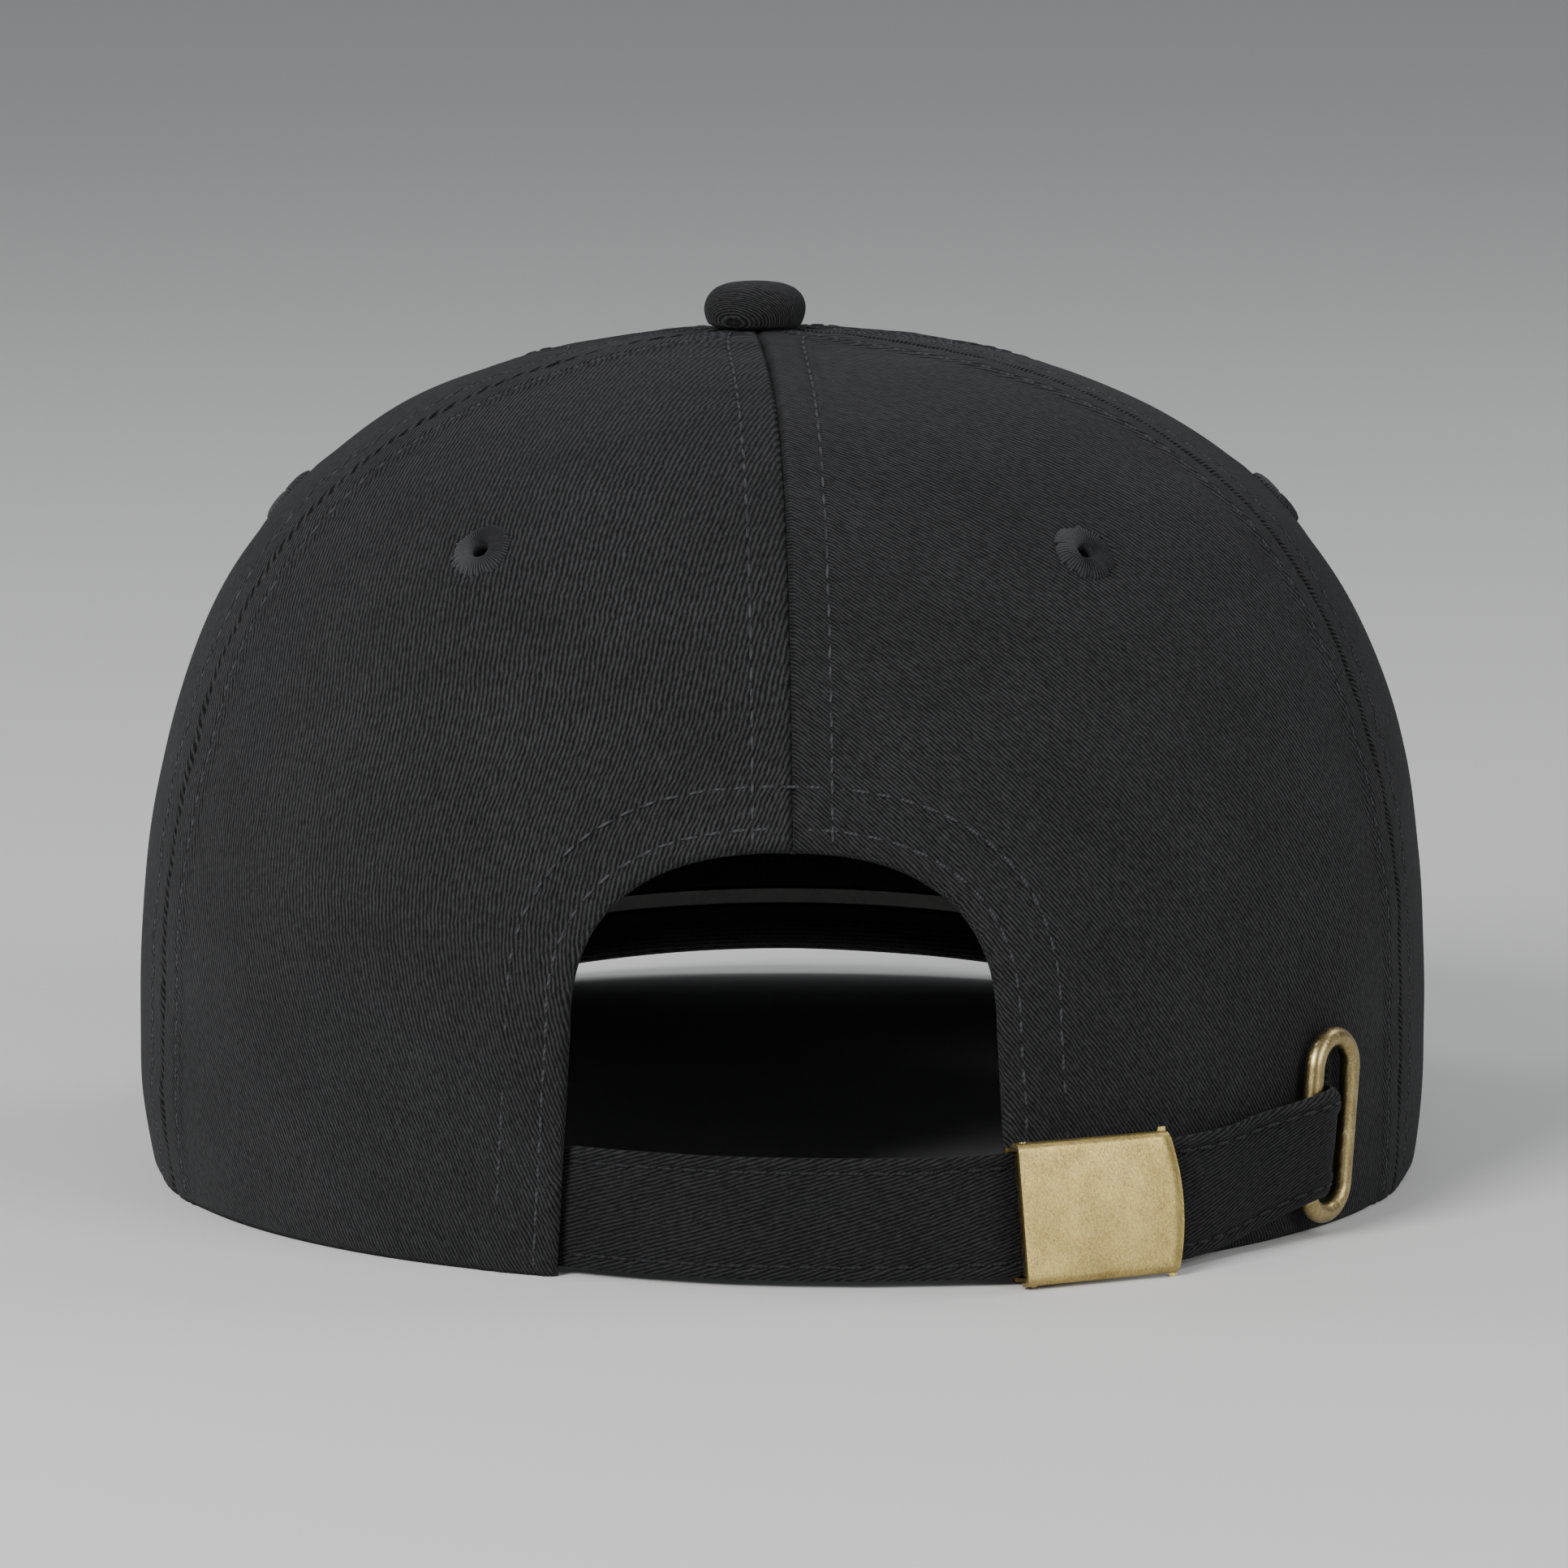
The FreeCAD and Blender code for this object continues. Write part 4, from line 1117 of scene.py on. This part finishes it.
def visorSheet(name, drop, middle, finish, node):
    def place(s, t):
        u = -1 + 2 * (s - 0.25 * sin(2 * pi * s) / (2 * pi))
        q = t + 0.3 * sin(pi * t) * (1 - t) * t
        point = visorPlan(u, min(q, 1.0))
        point.z = visorHeight(point.x, point.y) - visorDrop(point, drop, middle)
        point.z += 0.12 * mm * noise.noise(Vector((point.x * 60, point.y * 60, drop * 900)))
        return point

    def uvOf(s, t):
        point = place(s, t)
        return point.x * uvPerMetre, point.y * uvPerMetre

    bm = gridMesh(200, 84, place, uvOf)
    piece = addObject(name, bm)
    if drop > middle:
        thicken(piece, 0.55 * mm, -1.0)
    else:
        thicken(piece, 0.55 * mm, 1.0)
    finishPiece(piece, finish, [node])
    return piece


def visorRow(gap, drop, side):
    # a row of stitches that keeps its distance from the visor's outer edge
    spots = []
    count = len(outerEdge)
    for i in range(6, count - 6):
        along = (outerEdge[i + 1] - outerEdge[i - 1]).normalized()
        inward = Vector((along.y, -along.x, 0))
        if inward.y < 0:
            inward.negate()
        if inward.dot(outerEdge[i]) > 0 and abs(inward.y) < 1e-3:
            inward.negate()
        point = outerEdge[i] + inward * gap
        wide, deep = crown["halfWidth"] + 2 * mm, crown["halfLength"] + 2 * mm
        if (point.x / wide) ** 2 + (point.y / deep) ** 2 < 1 or point.y > -visor["root"]:
            continue
        slope = point.x / sqrt(visor["roll"] ** 2 - point.x ** 2)
        way = Vector((slope, -visor["slope"], 1)).normalized() * side
        point.z = visorHeight(point.x, point.y) - drop
        spots.append((point, way))
    return spots


def makeVisor():
    middle = 2.35 * mm
    for side, drop, angle in (("top", 0.55 * mm, 30.0), ("under", 4.15 * mm, -30.0)):
        cloth = twillFinish("twill_visor_" + side, angle)
        visorSheet("visor_" + side + "_twill", drop, middle, cloth, "visor_" + side + "_cloth")
    bm = bmesh.new()
    for row in range(visor["rows"]):
        gap = (row + 0.85) * visor["rowGap"]
        for drop, side in ((0.72 * mm, 1), (3.98 * mm, -1)):
            spots = visorRow(gap, drop, side)
            if len(spots) > 20:
                sewRow(bm, spots)
    finishPiece(addObject("visor_stitches", bm), sewingThread)
    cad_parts["visor_board"].data.materials.clear()
    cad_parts["visor_board"].data.materials.append(boardFinish("visor_core_board", (0.62, 0.62, 0.60)))
    print("visor done")


# the adjusting strap
def strapLine(share):
    w = strap["width"] * share
    points = []
    for turn, out in strap["route"]:
        level = strap["level"] + strap["rise"] * ease((turn - 35.0) / 17.0)
        nearRing = 1.0 - strap["gather"] * ease((turn - 38.0) / 11.0)
        if turn in strap["span"]:
            side = 1 if turn == strap["span"][1] else -1
            for t in ((12.0, 4.0) if side < 0 else (4.0, 12.0)):
                points.append(buckleMiddle + buckleAlong * side * t * mm + buckleAcross * w)
        else:
            lean = strap["lean"] * share * ease((turn - 44.0) / 5.0)
            points.append(besideWall(turn + lean, out * mm, level + w * nearRing))
    return smoothPath(points, strap["steps"])


def makeStrap():
    shares = (-0.5, -0.25, 0.0, 0.25, 0.5)
    lines = [strapLine(share) for share in shares]
    last = strap["steps"] - 1
    long = sum((b - a).length for a, b in zip(lines[2], lines[2][1:]))

    def axes(s):
        i = min(int(s * last), last - 1)
        k = s * last - i
        spots = [line[i].lerp(line[i + 1], k) for line in lines]
        j = min(max(i, 2), last - 3)
        along = (lines[2][j + 3] - lines[2][j - 2]).normalized()
        return spots, along, along.cross(spots[4] - spots[0]).normalized()

    def gathered(s, share):
        # folds that fan out from the slot
        spots, _, _ = axes(s)
        x, _ = ringLocal(spots[2])
        close = ease((x + 26 * mm) / (20 * mm)) * (1 - ease((x - 1 * mm) / (3 * mm)))
        folds = sin((share * 2.9 + 0.22) * 2 * pi + x / (9 * mm)) * 0.6
        folds += sin((share * 1.3 - 0.1) * 2 * pi) * 0.5
        return folds * 0.55 * mm * close

    def place(s, t):
        # t goes once round the strap's section, outside first
        spots, _, out = axes(s)
        half = strap["thick"] / 2
        turn = 2 * pi * t
        power = 0.30
        share = 0.5 * (abs(cos(turn)) ** power) * (-1 if cos(turn) > 0 else 1)
        thick = abs(sin(turn)) ** 0.55 * (1 if sin(turn) >= 0 else -1)
        p = (share + 0.5) * 4
        k = min(int(p), 3)
        middle = spots[k].lerp(spots[k + 1], p - k)
        edge = (0.5 - abs(share)) * strap["width"]
        dip = 0.24 * mm * bell(edge - 2.0 * mm, 0.5 * mm)
        ridge = 0.16 * mm * bell(edge - 0.9 * mm, 0.7 * mm)
        wave = 0.12 * mm * noise.noise(Vector((s * 34, share * 5, 4.4)))
        return middle + out * (thick * (half - dip + ridge) + wave + gathered(s, share))

    def uvOf(s, t):
        turn = 2 * pi * t
        share = 0.5 * (abs(cos(turn)) ** 0.30) * (-1 if cos(turn) > 0 else 1)
        across = share + 0.5 if t <= 0.5 else 1.5 - share
        return s * long * uvPerMetre, across * strap["width"] * uvPerMetre

    bm = gridMesh(320, 64, place, uvOf)
    bmesh.ops.remove_doubles(bm, verts=bm.verts, dist=1e-7)
    bmesh.ops.holes_fill(bm, edges=[edge for edge in bm.edges if edge.is_boundary], sides=0)
    bmesh.ops.recalc_face_normals(bm, faces=bm.faces)
    finishPiece(addObject("strap_twill", bm), twillFinish("twill_strap", -72.0, shade=0.70),
                ["strap"])

    bm = bmesh.new()
    for side in (-1, 1):
        for face in (1, -1):
            spots = []
            for i in range(600):
                s = mix(0.01, 0.985, i / 599)
                places, along, out = axes(s)
                share = side * (0.5 - 2.0 * mm / strap["width"])
                p = (share + 0.5) * 4
                k = min(int(p), 3)
                middle = places[k].lerp(places[k + 1], p - k)
                height = face * (strap["thick"] / 2 - 0.05 * mm) + gathered(s, share)
                spots.append((middle + out * height, out * face))
            sewRow(bm, spots)
    finishPiece(addObject("strap_stitches", bm), strapThread)
    print("strap done")


# the buckle: cover, cam, pin, tab and ring
buckle = {
    "half": 12.5 * mm, "tall": 9.8 * mm, "top": 4.25 * mm, "skin": 0.55 * mm, "fold": 1.15 * mm,
    "bow": 1.5 * mm,
    "pinT": -11.0 * mm, "pinN": 2.6 * mm, "pinRadius": 0.55 * mm, "hole": 0.85 * mm, "cam": 1.45 * mm,
    "flange": (
        (-12.5, 2.2), (-11.9, 1.35), (-10.2, 1.25), (-7.6, 1.9), (-2.0, 2.5), (10.6, 3.0), (12.6, 3.1),
    ),
}
buckleMatrix = Matrix((buckleAlong, buckleAcross, buckleOut)).transposed().to_4x4()
buckleMatrix.translation = buckleMiddle


def flangeFoot(t):
    marks = buckle["flange"]
    for (t0, n0), (t1, n1) in zip(marks, marks[1:]):
        if t <= t1 * mm:
            return mix(n0, n1, ease((t - t0 * mm) / ((t1 - t0) * mm))) * mm
    return marks[-1][1] * mm


def leverProfile():
    # (w, n, share of the flange's depth) across the cover, from its lower flange to its upper one
    high, r, top = buckle["tall"], buckle["fold"], buckle["top"]
    marks = [(-high, top - r, 1 - i / 7) for i in range(7)]
    marks += [(-high + r - r * cos(pi / 2 * i / 9), top - r + r * sin(pi / 2 * i / 9), 0) for i in range(10)]
    marks += [(mix(-high + r, high - r, i / 28), top, 0) for i in range(1, 28)]
    marks += [(high - r + r * sin(pi / 2 * i / 9), top - r + r * cos(pi / 2 * i / 9), 0) for i in range(10)]
    marks += [(high, top - r, (i + 1) / 7) for i in range(7)]
    return marks


def makeLever():
    marks = leverProfile()
    rows = len(marks) - 1

    def place(s, t):
        w, n, deep = marks[int(round(t * rows))]
        end = buckle["half"] - buckle["bow"] * (w / buckle["tall"]) ** 2
        along = mix(-buckle["half"], end, s)
        n = mix(n, flangeFoot(along), deep)
        flat = 1 - (w / buckle["tall"]) ** 2
        n += 0.28 * mm * flat * sin(pi * s)  # the cover is very slightly domed
        n -= 0.35 * mm * ease((s - 0.94) / 0.06) * (1 - deep)
        return Vector((along, w, n))

    bm = gridMesh(64, rows, place)
    bmesh.ops.recalc_face_normals(bm, faces=bm.faces)
    if sum(face.normal.z for face in bm.faces) < 0:
        bmesh.ops.reverse_faces(bm, faces=bm.faces)
    cover = addObject("lever_cover", bm)
    thicken(cover, buckle["skin"])
    bm = bmesh.new()
    bmesh.ops.create_cone(bm, cap_ends=True, segments=40, radius1=buckle["hole"], radius2=buckle["hole"],
                          depth=30 * mm, matrix=Matrix.Translation((buckle["pinT"], 0, buckle["pinN"]))
                          @ Matrix.Rotation(pi / 2, 4, "X"))
    drill = addObject("drill", bm)
    cut = cover.modifiers.new("pin_hole", "BOOLEAN")
    cut.object = drill
    cut.solver = "EXACT"
    edge = cover.modifiers.new("edge", "BEVEL")
    edge.width = 0.11 * mm
    edge.segments = 2
    edge.limit_method = "ANGLE"
    edge.angle_limit = radians(45)
    edge.harden_normals = True
    settle(cover)
    bpy.data.objects.remove(drill)
    cover.data.transform(buckleMatrix)
    finishPiece(cover, coverBrass, ["buckle_lever"], "lever")

    bm = bmesh.new()
    reach = 8.4 * mm
    steps = 22
    base = Matrix.Translation((buckle["pinT"], -reach, buckle["pinN"])) @ Matrix.Rotation(-pi / 2, 4, "X")
    bmesh.ops.create_circle(bm, cap_ends=True, segments=28, radius=buckle["cam"], matrix=base)
    face = next(iter(bm.faces))
    for i in range(steps):
        made = bmesh.ops.extrude_face_region(bm, geom=[face])["geom"]
        verts = [part for part in made if isinstance(part, bmesh.types.BMVert)]
        face = next(part for part in made if isinstance(part, bmesh.types.BMFace))
        bmesh.ops.translate(bm, verts=verts, vec=(0, 2 * reach / steps, 0))
        size = 0.86 if i % 2 == 0 and i < steps - 1 else 1 / 0.86
        if i == steps - 1:
            size = 1.0
        centre = Matrix.Translation((buckle["pinT"], 0, buckle["pinN"]))
        bmesh.ops.scale(bm, verts=verts, vec=(size, 1, size), space=centre.inverted())
    bmesh.ops.create_cube(bm, size=1.0, matrix=Matrix.Translation((buckle["pinT"] + 0.1 * mm, 0, 3.0 * mm))
                          @ Matrix.Diagonal((1.8 * mm, 2 * reach, 1.1 * mm, 1)))
    for vert in bm.verts:
        vert.co.x = max(vert.co.x, buckle["pinT"] - 0.9 * mm)
        vert.co.z = min(vert.co.z, buckle["top"] - buckle["skin"] - 0.12 * mm)
    bmesh.ops.recalc_face_normals(bm, faces=bm.faces)
    bmesh.ops.transform(bm, matrix=buckleMatrix, verts=bm.verts)
    finishPiece(addObject("lever_cam", bm, smooth=False), wireBrass, body="lever")


def makePin():
    bm = bmesh.new()
    long = 2 * (buckle["tall"] + 0.2 * mm)
    bmesh.ops.create_cone(bm, cap_ends=True, segments=32, radius1=buckle["pinRadius"],
                          radius2=buckle["pinRadius"], depth=long)
    rims = [edge for edge in bm.edges if abs(abs(edge.verts[0].co.z) - long / 2) < 1e-6
            and abs(edge.verts[0].co.z - edge.verts[1].co.z) < 1e-6]
    bmesh.ops.bevel(bm, geom=rims, offset=0.22 * mm, segments=4, profile=0.5, affect="EDGES", material=-1)
    turn = Matrix.Translation((buckle["pinT"], 0, buckle["pinN"])) @ Matrix.Rotation(pi / 2, 4, "X")
    bmesh.ops.transform(bm, matrix=buckleMatrix @ turn, verts=bm.verts)
    finishPiece(addObject("hinge_pin", bm), wireBrass, ["buckle_pin"])


def makeTab():
    # the short loop of cloth round the frame's bar
    t0, t1, n0, n1, r = 9.45 * mm, 12.25 * mm, -2.45 * mm, -1.15 * mm, 0.35 * mm
    corners = ((t1 - r, n1 - r, 0), (t0 + r, n1 - r, 90), (t0 + r, n0 + r, 180), (t1 - r, n0 + r, 270))
    loop = [Vector((t + r * cos(radians(a + k * 22.5)), 0, n + r * sin(radians(a + k * 22.5))))
            for t, n, a in corners for k in range(5)]
    loop.append(loop[0])
    half = 6.5 * mm

    def place(s, t):
        i = min(int(t * (len(loop) - 1)), len(loop) - 2)
        point = loop[i].lerp(loop[i + 1], t * (len(loop) - 1) - i)
        return point + Vector((0, mix(-half, half, s), 0))

    bm = gridMesh(26, 60, place, lambda s, t: (s * 0.13, t * 0.08))
    bmesh.ops.remove_doubles(bm, verts=bm.verts, dist=1e-7)
    bmesh.ops.recalc_face_normals(bm, faces=bm.faces)
    bmesh.ops.transform(bm, matrix=buckleMatrix, verts=bm.verts)
    piece = addObject("tab_twill", bm)
    thicken(piece, 0.3 * mm, 0.0)
    finishPiece(piece, twillFinish("twill_tab", -70.0), ["buckle_tab"])


def makeRing():
    bm = bmesh.new()
    steps, half = 48, ring["span"] / 2
    start = Matrix.Rotation(pi / steps, 4, "Z")
    bmesh.ops.create_circle(bm, segments=24, radius=ring["wire"],
                            matrix=start @ Matrix.Translation((half, 0, 0)) @ Matrix.Rotation(pi / 2, 4, "X"))
    bmesh.ops.spin(bm, geom=bm.verts[:] + bm.edges[:], cent=(0, 0, 0), axis=(0, 0, 1), dvec=(0, 0, 0),
                   angle=2 * pi, steps=steps, use_merge=True, use_duplicate=False)
    bmesh.ops.remove_doubles(bm, verts=bm.verts, dist=1e-7)
    straight = (ring["tall"] - ring["span"]) / 2
    for vert in bm.verts:
        vert.co.y += straight if vert.co.y > 0 else -straight
    bmesh.ops.recalc_face_normals(bm, faces=bm.faces)
    place = Matrix((ringAlong, ringUp, ringOut)).transposed().to_4x4()
    place.translation = ringWall + ringOut * ring["lift"]
    bmesh.ops.transform(bm, matrix=place, verts=bm.verts)
    if place.determinant() < 0:
        bmesh.ops.reverse_faces(bm, faces=bm.faces)
    finishPiece(addObject("ring_wire", bm), wireBrass, ["tuck_ring"])


def makeBuckle():
    makeLever()
    makePin()
    makeTab()
    makeRing()
    for node in ("buckle_frame", "tuck_ring_backing"):
        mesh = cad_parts[node].data
        mesh.materials.clear()
        mesh.materials.append(wireBrass)
    for node in ("button_shell", "button_shank", "button_washer"):
        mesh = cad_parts[node].data
        mesh.materials.clear()
        mesh.materials.append(tinPlate)
    print("buckle done")


# all the pieces in turn
setStage()
sewingThread = threadFinish("sewing_thread", (0.026, 0.026, 0.028))
strapThread = threadFinish("strap_thread", (0.009, 0.009, 0.010))
eyeletThread = flossFinish("eyelet_floss", (0.019, 0.019, 0.021))
buckramWeave = weaveFinish("buckram_weave", (0.030, 0.030, 0.031), 1.1, gauze=True)
tapeWeave = weaveFinish("tape_weave", (0.035, 0.035, 0.038), 0.55)
bandWeave = weaveFinish("band_weave", (0.033, 0.033, 0.036), 0.5)
labelWeave = weaveFinish("label_weave", (0.55, 0.55, 0.53), 0.3, depth=0.04 * mm)
bandFoam = foamFinish("band_foam_cells", (0.16, 0.16, 0.165))
coverBrass = brassFinish("brass_cover", (0.17, 0.118, 0.036), (0.50, 0.385, 0.145), 0.40, 0.62)
wireBrass = brassFinish("brass_wire", (0.24, 0.18, 0.075), (0.60, 0.49, 0.25), 0.27, 0.34)
tinPlate = brassFinish("tin_plate", (0.30, 0.30, 0.30), (0.55, 0.55, 0.54), 0.35, 0.2)

makePanels()
makeStitches()
makeEyelets()
makeButton()
makeTapes()
makeBand()
makeVisor()
makeStrap()
makeBuckle()
